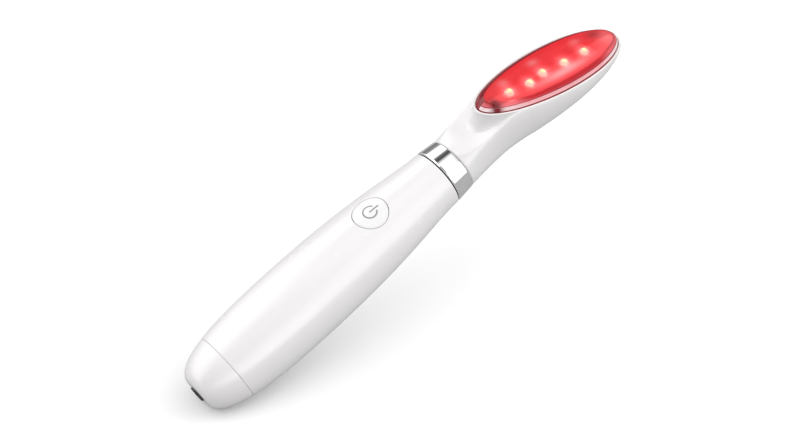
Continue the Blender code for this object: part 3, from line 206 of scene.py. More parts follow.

# The far side's edge is painted shade, a dark line up to this height. The painted highlights lie on the
# top only.
FAR_SHADE_HEIGHT = 2.19
FAR_SHADE_COLOR = (0.22, 0.01, 0.02)
PAINTED_HIGHLIGHT_COLOR = (1.0, 0.62, 0.64)
DARK_REFLECTION_COLOR = (0.12, 0.01, 0.015)
CLOUD_COLOR = (0.55, 0.0, 0.01)

# Painted highlights and painted dark reflections in the window: place, reach along and across, and
# strength
# Painted highlights: pale pink patches of light on the window's top.
PAINTED_HIGHLIGHTS = (
    (2.0, -4.1, 8.5, 1.3, 0.75), (-15.8, 2.2, 1.6, 1.3, 0.3), (-3.2, 3.5, 1.8, 1.2, 0.3),
    (12.8, 2.8, 2.0, 1.2, 0.25), (22.0, -1.0, 3.0, 3.0, 0.25),
)
# Painted dark reflections: maroon patches near the window's ends.
PAINTED_DARK_REFLECTIONS = (
    (-23.0, -2.8, 1.4, 2.2, 1.3), (-24.6, 2.8, 1.0, 1.0, 0.9), (19.6, 2.2, 2.4, 1.6, 0.6),
)

# Plastics and rubber: name, colour, roughness, relief in metres and how much darker the clouds are.
# Metals: name, colour, roughness, the stretch of their drawn lines, and relief.
PLASTICS = {
    "body_white": ("pearl white", (0.865, 0.849, 0.849), 0.26, 8e-7, 0.012),
    "button_white": ("button white", (0.87, 0.865, 0.865), 0.34, 2e-6, 0.012),
    "black_plastic": ("black plastic", (0.03, 0.03, 0.032), 0.5, 8e-6, 0.3),
    "seal_rubber": ("seal rubber", (0.04, 0.04, 0.042), 0.75, 1e-5, 0.3),
    "carrier_plastic": ("carrier plastic", (0.72, 0.71, 0.68), 0.5, 8e-6, 0.08),
    "cell_wrap": ("cell wrap", (0.1, 0.25, 0.55), 0.38, 5e-6, 0.15),
    "board_green": ("circuit board", (0.02, 0.2, 0.08), 0.42, 6e-6, 0.4),
    "lead_red": ("red lead", (0.6, 0.03, 0.03), 0.5, 2e-6, 0.2),
    "lead_black": ("black lead", (0.03, 0.03, 0.03), 0.5, 2e-6, 0.3),
    # Painted shade: dark grey for faces deep in the groove by the collar, which are white or chrome in
    # shade.
    "groove": ("painted groove shade", (0.05, 0.05, 0.05), 0.6, 2e-6, 0.1),
    "symbol": ("symbol grey", (0.3, 0.3, 0.305), 0.4, 2e-6, 0.1),
}
METALS = {
    "collar_chrome": ("chrome", (0.9, 0.9, 0.91), 0.035, (1.0, 12.0, 12.0), 3e-7),
    "steel": ("steel", (0.6, 0.6, 0.62), 0.28, (1.0, 20.0, 20.0), 1e-6),
    "weight_metal": ("weight metal", (0.62, 0.5, 0.3), 0.4, (12.0, 1.0, 12.0), 1e-6),
}
COATS = {"body_white": {"Coat_Weight": 0.15, "Coat_Roughness": 0.08}}

# Their patterns: the middle range used, how fine they are, and how far gloss follows them
PATTERN_MIDDLE = (0.3, 0.7)
PLASTIC_CLOUDS = 120.0
PLASTIC_GRAIN = 9000.0
PLASTIC_SWING = 0.07
METAL_CLOUDS = 200.0
METAL_LINES = 700.0
METAL_SWING = 0.2
METAL_TONE = 0.1

# The same for the window, and the lit lenses and the board behind them
WINDOW_CLOUDS = 220.0
WINDOW_GRAIN = 1500.0
WINDOW_RELIEF = 1e-6
WINDOW_ROUGHNESS = (0.05, 0.09)
CLOUD_SHARE = 0.16
LENS_GRAIN = 2500.0
BOARD_GRAIN = 4000.0
BOARD_RELIEF = 3e-6
LENS_CORE = 0.95
LENS_GLOW = 26.0
LENS_RIM_GLOW = 4.0
# Painted glow on the light board: pools of light round the lights, and an even glow.
HALO_SHIFT = (0.9, 0.7)
HALO_REACH = 1.8
HALO_GLOW = 6.0
BOARD_GLOW = 0.2

# Seams as they look from outside, narrower than the clearances behind them
SEAM = 0.06
BUTTON_SEAM = 0.17
EXTRA_GROOVE = 0.12

# Eased edges, and how much of a side an ease may take
EDGE = 0.15
FINE_EDGE = 0.1
TINY_EDGE = 0.05
EASE_SHARE = 0.45
SHOULDER_EASE_SHARE = 0.95

# How finely the smooth pieces are cut
ROUND_SIDES = 192
COLLAR_SIDES = 256
SPIGOT_SIDES = 128
JACK_SIDES = 72
BUTTON_SIDES = 120
BUTTON_RINGS = 16
OVAL_SIDES = 288
LENS_SIDES = 32
EDGE_STEPS = 4
HALVINGS = 40
DOME_STEPS = 44
DOME_END = 0.5
WINDOW_RINGS = 12
KEEL_STEPS = 28
FLANK_STEPS = 18
TOP_STEPS = 16
SHOULDER_STEPS = 6
FILLET_STEPS = 18
NECK_STEP_LENGTH = 0.5
SYMBOL_STEPS = 56
STEM_STEPS = 10
STROKE_END_STEPS = 8
AXIS_RADIUS = 0.01
ANGLE_SLACK = 1e-6
MERGE_WITHIN = 2e-6
SHARP_FROM = radians(38.0)

# The handle's patch round the button's hole: its reach, and its rings outside and inside
PATCH_HALF_LENGTH = 8
PATCH_HALF_SIDES = 21
OUTER_RINGS = (0.0, 0.15, 0.3, 0.45, 0.6, 0.75, 0.88)
INNER_RINGS = (0.75, 0.5, 0.25, 0.0)

# The photograph's camera, found from the wand's outline in it
CAMERA_AT = (-0.1036, -0.2064, 0.3721)
CAMERA_RIGHT = (0.723, -0.66599, -0.18364)
CAMERA_DOWN = (-0.6524, -0.57075, -0.49861)
CAMERA_LENS = 72.0
CAMERA_SENSOR = 36.0
CAMERA_CLIP_START = 0.01
FLOOR_NORMAL = (0.3842, 0.1668, 0.908)
FLOOR_HALF = 1.2
FLOOR_CELLS = 8


def bezier(points, share):
    """A point of a cubic Bezier curve."""
    left = 1.0 - share
    weights = (left**3, 3 * left**2 * share, 3 * left * share**2, share**3)
    return tuple(sum(w * p[axis] for w, p in zip(weights, points)) for axis in (0, 1))


TAIL_CURVE = (
    (0.0, TAIL_FLAT_RADIUS),
    (0.0, BELLY_RADIUS - TAIL_EASE),
    (TAIL_SWELL, BELLY_RADIUS),
    (BELLY_AT, BELLY_RADIUS),
)
FRONT_CURVE = (
    (BELLY_AT, BELLY_RADIUS),
    (BELLY_AT + BELLY_RUN, BELLY_RADIUS),
    (COLLAR_AT - FRONT_SLOPE_LENGTH, FRONT_RADIUS + FRONT_SLOPE_RISE),
    (COLLAR_AT, FRONT_RADIUS),
)


def barrel_radius(along):
    """The handle's outer radius at a distance from the tail's end."""
    curve = TAIL_CURVE if along < BELLY_AT else FRONT_CURVE
    low, high = 0.0, 1.0
    for _ in range(HALVINGS):
        share = (low + high) / 2
        if bezier(curve, share)[0] < along:
            low = share
        else:
            high = share
    return bezier(curve, (low + high) / 2)[1]


AXIS_HEIGHT = BELLY_RADIUS * cos(pi / BODY_SIDES)
CAP_SPIGOT_RADIUS = barrel_radius(SEAM_AT) - CAP_SEAT_WALL - GAP
COLLAR_FRONT_RADIUS = FRONT_RADIUS - COLLAR_TAPER
NECK_AT = COLLAR_AT + COLLAR_LENGTH + GAP / 2
NECK_RADIUS = COLLAR_FRONT_RADIUS - NECK_STEP
SPIGOT_RADIUS = COLLAR_FRONT_RADIUS - COLLAR_WALL - GAP
RIM_REACH = (WINDOW_HALF_LENGTH + RIM_OFFSET) * cos(WINDOW_TILT)
HALF_LENGTH = (WINDOW_AT + RIM_REACH) / 2
WINDOW_TURN = Matrix.Rotation(WINDOW_TILT, 4, "Y")
WINDOW_FRAME = Matrix.Translation((WINDOW_AT, 0.0, WINDOW_HEIGHT)) @ WINDOW_TURN


def metres(point):
    """A point of the wand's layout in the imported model's frame."""
    return Vector((point[0] - HALF_LENGTH, point[1], point[2] + AXIS_HEIGHT)) / PER_METRE


def mesh_from(bm, name):
    """A mesh of what was built, which is then cleared away."""
    mesh = bpy.data.meshes.new(name)
    bm.to_mesh(mesh)
    bm.free()
    return mesh


def placed(name, data, place):
    """A new object in the scene."""
    made = bpy.data.objects.new(name, data)
    bpy.context.scene.collection.objects.link(made)
    made.matrix_world = place
    return made


def turns(count):
    """Angles once round, in even steps."""
    return [2.0 * pi * i / count for i in range(count)]


def quarter(count=EDGE_STEPS):
    """Angles from 0 to a right angle, in even steps."""
    return [pi / 2 * k / count for k in range(count + 1)]


def ease_end(corner, neighbour, size, share=EASE_SHARE):
    """Where the curve that eases a corner meets the side towards a neighbour."""
    away = neighbour - corner
    return corner + away.normalized() * min(size, away.length * share)


def bent(start, corner, end, share):
    """A point of the curve that eases a corner."""
    return start * (1 - share)**2 + corner * 2 * share * (1 - share) + end * share**2


class Form:
    """The points and faces of one piece. Faces from shaded_from on have its second material."""

    def __init__(self):
        self.points = []
        self.faces = []
        self.shaded_from = inf

    def skin(self, rows, closed=True, first=None, last=None, skip=None):
        """Adds a surface through rows of points, with end points where they are given. Steps and
        sides that skip names stay open."""
        starts = []
        for row in rows:
            starts.append(len(self.points))
            self.points.extend(Vector(point) for point in row)
        count = len(rows[0])
        sides = count if closed else count - 1
        for k, (near, far) in enumerate(zip(starts, starts[1:])):
            for i in range(sides):
                if skip and skip(k, i):
                    continue
                j = (i + 1) % count
                self.faces.append((near + i, near + j, far + j, far + i))
        for start, tip in ((starts[0], first), (starts[-1], last)):
            if tip is None:
                continue
            self.points.append(Vector(tip))
            end = len(self.points) - 1
            for i in range(sides):
                self.faces.append((start + i, start + (i + 1) % count, end))
        return self

    def build(self, looks, name, body, slot, nodes=(), place=None, dress=None):
        """Makes the object, smooth but for its sharp corners, and hands it to its body. Its look is
        its slot's, or those that dress names."""
        bm = bmesh.new()
        points = [bm.verts.new(point / PER_METRE if place else metres(point)) for point in self.points]
        for number, face in enumerate(self.faces):
            if len({tuple(self.points[i]) for i in face}) == len(face):
                made = bm.faces.new([points[i] for i in face])
                made.material_index = int(number >= self.shaded_from)
        bmesh.ops.remove_doubles(bm, verts=bm.verts, dist=MERGE_WITHIN)
        bmesh.ops.recalc_face_normals(bm, faces=bm.faces)
        mesh = mesh_from(bm, name)
        mesh.shade_smooth()
        mesh.set_sharp_from_angle(angle=SHARP_FROM)
        made = placed(name, mesh, place or Matrix())
        for used in dress or (slot,):
            mesh.materials.append(looks[used])
        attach(made, body)
        if nodes:
            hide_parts(*nodes)


def eased(outline):
    """A closed outline of (along, radius) points, rounded where a point has a size as well."""
    made = []
    for i, point in enumerate(outline):
        corner, size = Vector(point[:2]), point[2:]
        if not size:
            made.append(corner)
            continue
        start = ease_end(corner, Vector(outline[i - 1][:2]), size[0])
        end = ease_end(corner, Vector(outline[(i + 1) % len(outline)][:2]), size[0])
        made += [bent(start, corner, end, k / EDGE_STEPS) for k in range(EDGE_STEPS + 1)]
    return made


def turned_rows(outline, sides=ROUND_SIDES):
    """Rings about the wand's axis through the points of a closed outline."""
    return [
        [(along, radius * sin(angle), radius * cos(angle)) for angle in turns(sides)]
        for along, radius in outline + outline[:1]
    ]


def handle_piece(looks):
    """The handle's tube, cut every millimetre, with a rounded edge round the button's hole."""
    start = SEAM_AT + SEAM / 2
    end = COLLAR_AT - GAP / 2 - EXTRA_GROOVE
    patch = [BUTTON_AT + k for k in range(-PATCH_HALF_LENGTH, PATCH_HALF_LENGTH + 1)]
    low, high = patch[0], patch[-1]
    stations = [start + k for k in range(1, int(low - start))] + patch
    stations += [high + k for k in range(1, int(end - high))]
    seat = CAP_SPIGOT_RADIUS + GAP
    seat_end = SEAM_AT + CAP_SPIGOT_LENGTH + GAP
    mouth = SPIGOT_RADIUS + GAP
    mouth_start = COLLAR_AT - SPIGOT_IN_HANDLE - MOUTH_EXTRA

    def bore(along):
        if along < seat_end:
            return seat
        if along > mouth_start:
            return mouth
        return barrel_radius(along) - WALL

    outline = [(start, seat), (start, barrel_radius(start), EDGE)]
    outline += [(along, barrel_radius(along)) for along in stations]
    outline += [(end, barrel_radius(end), EDGE), (end, mouth)]
    outline += [(along, bore(along)) for along in reversed(stations)]
    outline = eased(outline)
    form = Form()

    def in_patch(row, side):
        near, far = outline[row], outline[(row + 1) % len(outline)]
        along = (near[0] + far[0]) / 2
        from_top = min(side + 0.5, ROUND_SIDES - side - 0.5)
        return low < along < high and from_top < PATCH_HALF_SIDES

    form.skin(turned_rows(outline), skip=in_patch)

    turn = 2.0 * pi / ROUND_SIDES
    half = PATCH_HALF_SIDES
    edge = [(along, half * turn) for along in patch[:-1]]
    edge += [(high, k * turn) for k in range(half, -half, -1)]
    edge += [(along, -half * turn) for along in reversed(patch[1:])]
    edge += [(low, k * turn) for k in range(-half, half)]

    def ring(reach, offset, drop, radius_at):
        half_length, half_width = BUTTON_LENGTH / 2 + offset, BUTTON_WIDTH / 2 + offset
        row = []
        for along, angle in edge:
            y = radius_at(along) * sin(angle)
            turned = atan2(y / half_width, (along - BUTTON_AT) / half_length)
            x = along + (BUTTON_AT + half_length * cos(turned) - along) * reach
            y += (half_width * sin(turned) - y) * reach
            row.append((x, y, sqrt(radius_at(x)**2 - y**2) - drop))
        return row

    rows = [ring(reach, BUTTON_SEAM + EDGE, 0.0, barrel_radius) for reach in OUTER_RINGS]
    for angle in quarter():
        offset = BUTTON_SEAM + EDGE * (1 - sin(angle))
        rows.append(ring(1.0, offset, EDGE * (1 - cos(angle)), barrel_radius))
    rows += [ring(reach, BUTTON_SEAM, 0.0, bore) for reach in (1.0, *INNER_RINGS)]
    form.skin(rows)
    form.build(looks, "handle_smooth", "body", "body_white", ["handle_shell"])


def cap_piece(looks):
    """The tail's dome with the charging hole, set back a little round it, and its spigot."""
    rim = SEAM_AT - SEAM / 2
    spigot_end = SEAM_AT + CAP_SPIGOT_LENGTH
    bore = CAP_SPIGOT_RADIUS - CAP_SPIGOT_WALL
    outline = [(CAP_END_WALL, LIP_RADIUS), (LIP_HEIGHT, LIP_RADIUS, FINE_EDGE)]
    for k in range(DOME_STEPS):
        along, radius = bezier(TAIL_CURVE, k / DOME_STEPS)
        if along < rim - DOME_END:
            outline.append((hypot(along, LIP_HEIGHT), radius))
    outline += [(rim, barrel_radius(rim), EDGE), (rim, CAP_SPIGOT_RADIUS)]
    outline += [(spigot_end, CAP_SPIGOT_RADIUS, EDGE), (spigot_end, bore, EDGE)]
    outline += [(CAP_END_WALL + CAP_FLOOR_SLOPE, bore), (CAP_END_WALL, JACK_RADIUS + GAP)]
    form = Form().skin(turned_rows(eased(outline)))
    form.build(looks, "tail_cap_smooth", "body", "body_white", ["tail_cap"])


def jack_piece(looks):
    """The charging socket. Its lip lines the hole and ends level with the tail's end."""
    start = CAP_END_WALL + GAP
    end = start + JACK_LENGTH
    floor = start + JACK_BORE_DEPTH
    pin_seat = JACK_PIN_RADIUS + GAP
    pin_floor = floor + JACK_PIN_SEAT_DEPTH
    lip = LIP_RADIUS - LIP_GAP
    outline = [(0.0, JACK_BORE_RADIUS, FINE_EDGE), (0.0, lip, FINE_EDGE), (start, lip)]
    outline += [(start, JACK_RADIUS, JACK_FRONT_EDGE), (end, JACK_RADIUS, JACK_BACK_EDGE)]
    outline += [(end, AXIS_RADIUS), (pin_floor, AXIS_RADIUS), (pin_floor, pin_seat)]
    outline += [(floor, pin_seat, FINE_EDGE), (floor, JACK_BORE_RADIUS, FINE_EDGE)]
    form = Form().skin(turned_rows(eased(outline), JACK_SIDES))
    form.build(looks, "socket_smooth", "body", "black_plastic", ["charging_jack"])


def collar_piece(looks):
    """The mirror collar, with a narrow bright chamfer at both ends and its end face in the groove
    painted dark grey as shade.
    """
    start = COLLAR_AT + GAP / 2
    end = NECK_AT - SEAM
    bore = SPIGOT_RADIUS + GAP
    outline = [
        (start, bore),
        (start, FRONT_RADIUS - COLLAR_EDGE, TINY_EDGE),
        (start + COLLAR_EDGE, FRONT_RADIUS, FINE_EDGE),
        (end - COLLAR_EDGE, COLLAR_FRONT_RADIUS, FINE_EDGE),
        (end, COLLAR_FRONT_RADIUS - COLLAR_EDGE, TINY_EDGE),
        (end, bore),
    ]
    rows = turned_rows(eased(outline), COLLAR_SIDES)
    form = Form().skin(rows[1:])
    # The end face in the groove, from here on, takes the painted shade.
    form.shaded_from = len(form.faces)
    form.skin(rows[:2])
    dress = ("collar_chrome", "groove")
    form.build(looks, "collar_smooth", "body", "collar_chrome", ["collar_ring"], dress=dress)


def face_height(x, y):
    """The height of the handle's surface over a point of its plan."""
    return sqrt(barrel_radius(x)**2 - y**2)


def button_ring(offset, drop=0.0, scale=1.0, height=None):
    """An oval at the button's place, at a drop below the handle's face or at one height."""
    row = []
    for angle in turns(BUTTON_SIDES):
        x = BUTTON_AT + (BUTTON_LENGTH / 2 + offset) * scale * cos(angle)
        y = (BUTTON_WIDTH / 2 + offset) * scale * sin(angle)
        row.append((x, y, face_height(x, y) - drop if height is None else height))
    return row


def button_piece(looks):
    """The push button: a face that follows the handle, a rounded edge and a skirt."""
    rows = [button_ring(-EDGE, scale=k / BUTTON_RINGS) for k in range(1, BUTTON_RINGS)]
    for angle in quarter():
        rows.append(button_ring(-EDGE * (1 - sin(angle)), EDGE * (1 - cos(angle))))
    rows.append(button_ring(0.0, height=BUTTON_SKIRT_BOTTOM))
    rows.append(button_ring(-BUTTON_SKIRT_WALL, height=BUTTON_SKIRT_BOTTOM))
    rows.append(button_ring(-BUTTON_SKIRT_WALL, height=BUTTON_CEILING))
    top = (BUTTON_AT, 0.0, face_height(BUTTON_AT, 0.0))
    form = Form().skin(rows, first=top, last=(BUTTON_AT, 0.0, BUTTON_CEILING))
    form.build(looks, "button_smooth", "button", "button_white", ["power_button"])


def symbol_stroke(form, line):
    """A printed stroke of even width on the button's face, with round ends."""
    points = [Vector(point) for point in line]
    left, right = [], []
    for i, point in enumerate(points):
        heading = (points[min(i + 1, len(points) - 1)] - points[max(i - 1, 0)]).normalized()
        side = Vector((-heading.y, heading.x)) * (SYMBOL_STROKE / 2)
        left.append(point + side)
        right.append(point - side)
    ends = []
    for tip, inner, corner in ((points[0], points[1], left[0]), (points[-1], points[-2], right[-1])):
        start, away = corner - tip, tip - inner
        turn = 1 if start.x * away.y - start.y * away.x > 0 else -1
        angles = [turn * pi * k / STROKE_END_STEPS for k in range(1, STROKE_END_STEPS)]
        ends.append([Matrix.Rotation(angle, 2) @ start + tip for angle in angles])

    def lifted(row, lift=SYMBOL_HEIGHT):
        return [(x, y, face_height(x, y) + lift) for x, y in row]

    outline = right + ends[1] + left[::-1] + ends[0]
    form.skin([lifted(outline, -SYMBOL_HEIGHT), lifted(outline)])
    form.skin([lifted(right), lifted(left)], closed=False)
    for cap, a, b in ((ends[0], left[0], right[0]), (ends[1], right[-1], left[-1])):
        form.skin([lifted([a, *cap, b])], closed=False, last=lifted([(a + b) / 2])[0])


def symbol_piece(looks):
    """The power symbol: an open ring and a stem that points at the head."""
    ring = []
    for k in range(SYMBOL_STEPS + 1):
        angle = SYMBOL_OPENING + (2 * pi - 2 * SYMBOL_OPENING) * k / SYMBOL_STEPS
        ring.append((BUTTON_AT + SYMBOL_RADIUS * cos(angle), SYMBOL_RADIUS * sin(angle)))
    stem = [(BUTTON_AT + SYMBOL_STEM * k / STEM_STEPS, 0.0) for k in range(STEM_STEPS + 1)]
    form = Form()
    for line in (ring, stem):
        symbol_stroke(form, line)
    form.build(looks, "power_symbol", "button", "steel", dress=("symbol",))


WINDOW_OVAL = {"half_length": WINDOW_HALF_LENGTH, "half_width": WINDOW_HALF_WIDTH, "shift": 0.0}


def oval_width(angle, offset, oval=WINDOW_OVAL):
    """The half width of the window's oval, moved outwards, at an angle round it."""
    return (oval["half_width"] + offset) * sin(angle) * (1.0 + WINDOW_EGG * cos(angle))


def oval_point(angle, offset, height, oval=WINDOW_OVAL):
    """A point of the window's oval, moved outwards and up, in the window's frame."""
    along = oval["shift"] + (oval["half_length"] + offset) * cos(angle)
    return Vector((along, oval_width(angle, offset, oval), height))


def oval_row(offset, height, scale=1.0, oval=WINDOW_OVAL):
    """A ring along the window's oval in the window's frame."""
    points = [oval_point(angle, offset, height, oval) for angle in turns(OVAL_SIDES)]
    return [Vector((point.x * scale, point.y * scale, point.z)) for point in points]


def tilted(point):
    """Where a piece goes whose points are laid out along the window's slope from a point."""
    return Matrix.Translation(metres(point)) @ WINDOW_TURN


def window_piece(looks):
    """The red window: a hollow lid with a clear flange, a bevel and a barely crowned top."""
    side = WINDOW_SIDE_HEIGHT
    top = side + WINDOW_BEVEL_HEIGHT
    top_inset = WINDOW_SIDE_INSET + WINDOW_BEVEL_INSET
    ceiling = top - WINDOW_WALL
    outer = [
        (-WINDOW_WALL, -WINDOW_SKIRT_DEPTH),
        (0.0, -WINDOW_SKIRT_DEPTH, FINE_EDGE),
        (0.0, WINDOW_FOOT, WINDOW_EDGE),
        (-WINDOW_SIDE_INSET, side, WINDOW_EDGE),
        (-top_inset, top, WINDOW_TOP_EDGE),
        (-top_inset - WINDOW_TOP_BAND, top),
    ]
    rows = [oval_row(offset, height) for offset, height in eased(outer)]
    shares = [k / WINDOW_RINGS for k in range(1, WINDOW_RINGS + 1)]
    for share in reversed(shares[:-1]):
        height = top + WINDOW_CROWN * (1 - share**2)
        rows.append(oval_row(-top_inset - WINDOW_TOP_BAND, height, share))
    inner = [oval_row(-WINDOW_WALL - top_inset, ceiling, share) for share in shares]
    inner.append(oval_row(-WINDOW_WALL - WINDOW_SIDE_INSET, ceiling - WINDOW_BEVEL_HEIGHT / 2))
    inner.append(oval_row(-WINDOW_WALL, -WINDOW_SKIRT_DEPTH))
    form = Form().skin(rows, last=(0.0, 0.0, top + WINDOW_CROWN))
    form.skin(inner, first=(0.0, 0.0, ceiling))
    place = tilted((WINDOW_AT, 0.0, WINDOW_HEIGHT))
    form.build(looks, "window_smooth", "body", "window_red", ["light_window"], place)


def light_pieces(looks):
    """Five lit lenses on the light board: a flange, a short side and a dome."""
    foot, foot_radius = LENS_OUTLINE[-1]
    outline = list(LENS_OUTLINE)
    for angle in LENS_DOME_ANGLES:
        outline.append((foot + LENS_DOME_RISE * sin(angle), foot_radius * cos(angle)))
    rows = [
        [(radius * cos(angle), radius * sin(angle), up) for angle in turns(LENS_SIDES)]
        for up, radius in outline
    ]
    for number, (along, across) in enumerate(LIGHTS_AT, 1):
        form = Form().skin(rows, first=(0.0, 0.0, 0.0), last=(0.0, 0.0, foot + LENS_DOME_RISE))
        place = tilted(WINDOW_FRAME @ Vector((along, across, GAP - LIGHT_BOARD_DEPTH)))
        form.build(looks, f"light_lens_{number}", "body", "light_dome", [f"light_{number}"], place)


def rim_plane(along):
    """The height of the window's rim at a distance from the tail's end."""
    return WINDOW_HEIGHT - tan(WINDOW_TILT) * (along - WINDOW_AT)


def curve_through(knots, values):
    """A smooth function through values at rising knots."""
    spans = [far - near for near, far in zip(knots, knots[1:])]
    rises = [(far - near) / span for near, far, span in zip(values, values[1:], spans)]
    inner = [
        (before * far + after * near) / (near + far)
        for before, after, near, far in zip(rises, rises[1:], spans, spans[1:])
    ]
    slopes = [rises[0], *inner, rises[-1]]

    def value(at):
        k = min(sum(at > knot for knot in knots[1:]), len(spans) - 1)
        span = spans[k]
        t = (at - knots[k]) / span
        return (
            values[k] * (2 * t**3 - 3 * t**2 + 1)
            + slopes[k] * span * (t**3 - 2 * t**2 + t)
            + values[k + 1] * (3 * t**2 - 2 * t**3)
            + slopes[k + 1] * span * (t**3 - t**2)
        )

    return value


def bowl_knot(angle):
    """A measure along the head that is even at the tip too, where the rim turns across."""
    if angle >= pi / 2:
        return WINDOW_AT + RIM_REACH * cos(angle)
    return WINDOW_AT + RIM_REACH * (pi / 2 - angle)


FIRST_BOWL_ANGLE = radians(BOWL_ROWS[0][0])
BOWL_START = bowl_knot(FIRST_BOWL_ANGLE)


def head_curves():
    """The head's sizes as smooth functions of the measure along it."""
    insides, edges = [], []
    for share, width, keel, shoulder, ridge, top, waist in NECK_ROWS:
        along = NECK_AT + share * (BOWL_START - NECK_AT)
        ridge += NECK_RADIUS
        insides.append((along, width - shoulder, ridge - waist, NECK_RADIUS + ridge + keel))
        edges.append((along, NECK_RADIUS + shoulder, ridge, NECK_RADIUS + top))
    for degrees, *sizes in BOWL_ROWS:
        angle = radians(degrees)
        knot = bowl_knot(angle)
        insides.append((knot, *sizes))
        if degrees > 90.0:
            edges.append((knot, oval_width(angle, RIM_OFFSET), rim_plane(knot), rim_plane(knot)))
    curves = {}
    for names, rows in ((("bulge", "waist", "keel"), insides), (("shoulder", "ridge", "top"), edges)):
        knots, *columns = zip(*rows)
        curves.update({name: curve_through(knots, values) for name, values in zip(names, columns)})
    return curves


HEAD = head_curves()


def half_ring(along, knot, shoulder, ridge):
    """One side of the head's cross-section, from the keel to the shoulder."""
    width = shoulder + HEAD["bulge"](knot)
    waist = ridge - HEAD["waist"](knot)
    keel = ridge - HEAD["keel"](knot)
    half = []
    for angle in quarter(KEEL_STEPS):
        half.append(Vector((along, width * sin(angle), waist - (waist - keel) * cos(angle))))
    for i in range(1, FLANK_STEPS + 1):
        angle = SHOULDER_ANGLE * i / FLANK_STEPS
        pull = (1.0 - cos(angle)) / (1.0 - cos(SHOULDER_ANGLE))
        rise = sin(angle) / sin(SHOULDER_ANGLE)
        half.append(Vector((along, width - (width - shoulder) * pull, waist + (ridge - waist) * rise)))
    return half


def other_side(points):
    """The points on the wand's other side, in the other order."""
    return [Vector((p.x, -p.y, p.z)) for p in reversed(points)]


def thumb_height(along, across):
    """The height of the thumb rest over a point of its plan."""
    share = min(1.0, abs(across) / HEAD["shoulder"](along))
    top = HEAD["top"](along)
    return top + (HEAD["ridge"](along) - top) * share**2


def rim_point(angle, offset, height):
    """A point by the window's oval, in the wand's layout."""
    return WINDOW_FRAME @ oval_point(angle, offset, height)


def neck_rows():
    """Rows under the neck from shoulder to shoulder, and rows over its thumb rest."""
    lower, tops = [], []
    length = BOWL_START - NECK_AT - EDGE
    count = int(length / NECK_STEP_LENGTH)
    for k in range(count + 1):
        way = k / count
        along = NECK_AT + EDGE + length * k / count
        shoulder, ridge = HEAD["shoulder"](along), HEAD["ridge"](along)
        half = half_ring(along, along, shoulder, ridge)
        corner = half[-1]
        held_from = HELD_UNDER_FILLET if way > FILLET_COVERS_FROM else HELD_FROM
        inner = []
        for i in range(1, TOP_STEPS + 1):
            y = shoulder * (1.0 - i / TOP_STEPS)
            z = thumb_height(along, y) - TOP_SINK * way**TOP_SINK_POWER
            if i >= held_from:
                z = min(z, rim_plane(along) - LIGHT_BOARD_DEPTH - BOARD_ROOM)
            inner.append(Vector((along, y, z)))
        ease = SHOULDER_EASE + (EDGE - SHOULDER_EASE) * way**2
        start = ease_end(corner, half[-2], ease, SHOULDER_EASE_SHARE)
        end = ease_end(corner, inner[0], ease, SHOULDER_EASE_SHARE)
        bend = [bent(start, corner, end, i / SHOULDER_STEPS) for i in range(1, SHOULDER_STEPS)]
        half[-1] = start
        lower.append(other_side(half[1:]) + half)
        side = [start, *bend, end, *inner]
        tops.append(side + other_side(side[:-1]))
    return lower, tops


def fillet_rows(angles):
    """The wall that runs from the rim round the window's near end down into the thumb rest."""
    least = -cos(FIRST_BOWL_ANGLE)
    rows = []
    for k in range(FILLET_STEPS + 1):
        share = (k / FILLET_STEPS)**FILLET_CROWD
        row = []
        for angle in angles:
            top = rim_point(angle, RIM_OFFSET, -EDGE)
            reach = max(0.0, (-cos(angle) - least) / (1.0 - least))
            reach = reach**2 * (3 - 2 * reach)
            rise = top.z - thumb_height(top.x, top.y)
            x = top.x - share * (FILLET_REACH * reach + FILLET_LEAN * max(rise, 0.0))
            limit = HEAD["shoulder"](x) - FILLET_INSET
            y = max(-limit, min(limit, top.y))
            y = top.y + (y - top.y) * share
            z = thumb_height(x, y) + rise * (1 - share)**FILLET_POWER - FILLET_SINK * share**2
            row.append(Vector((x, y, z)))
        rows.append(row)
    return rows


def recess_rows():
    """Rings over the rim, down into the window's recess and through the aperture under it."""
    profile = [(RIM_OFFSET - EDGE * (1 - cos(a)), -EDGE * (1 - sin(a))) for a in quarter()]
    profile += [(GAP + FINE_EDGE * (1 - sin(a)), -FINE_EDGE * (1 - cos(a))) for a in quarter()]
    ledge = -WINDOW_SKIRT_DEPTH - GAP
    rows = [oval_row(offset, height) for offset, height in [*profile, (GAP, ledge)]]
    rows += [oval_row(0.0, height, oval=APERTURE) for height in (ledge, ledge - APERTURE_CUT)]
    return [[WINDOW_FRAME @ p for p in row] for row in rows]


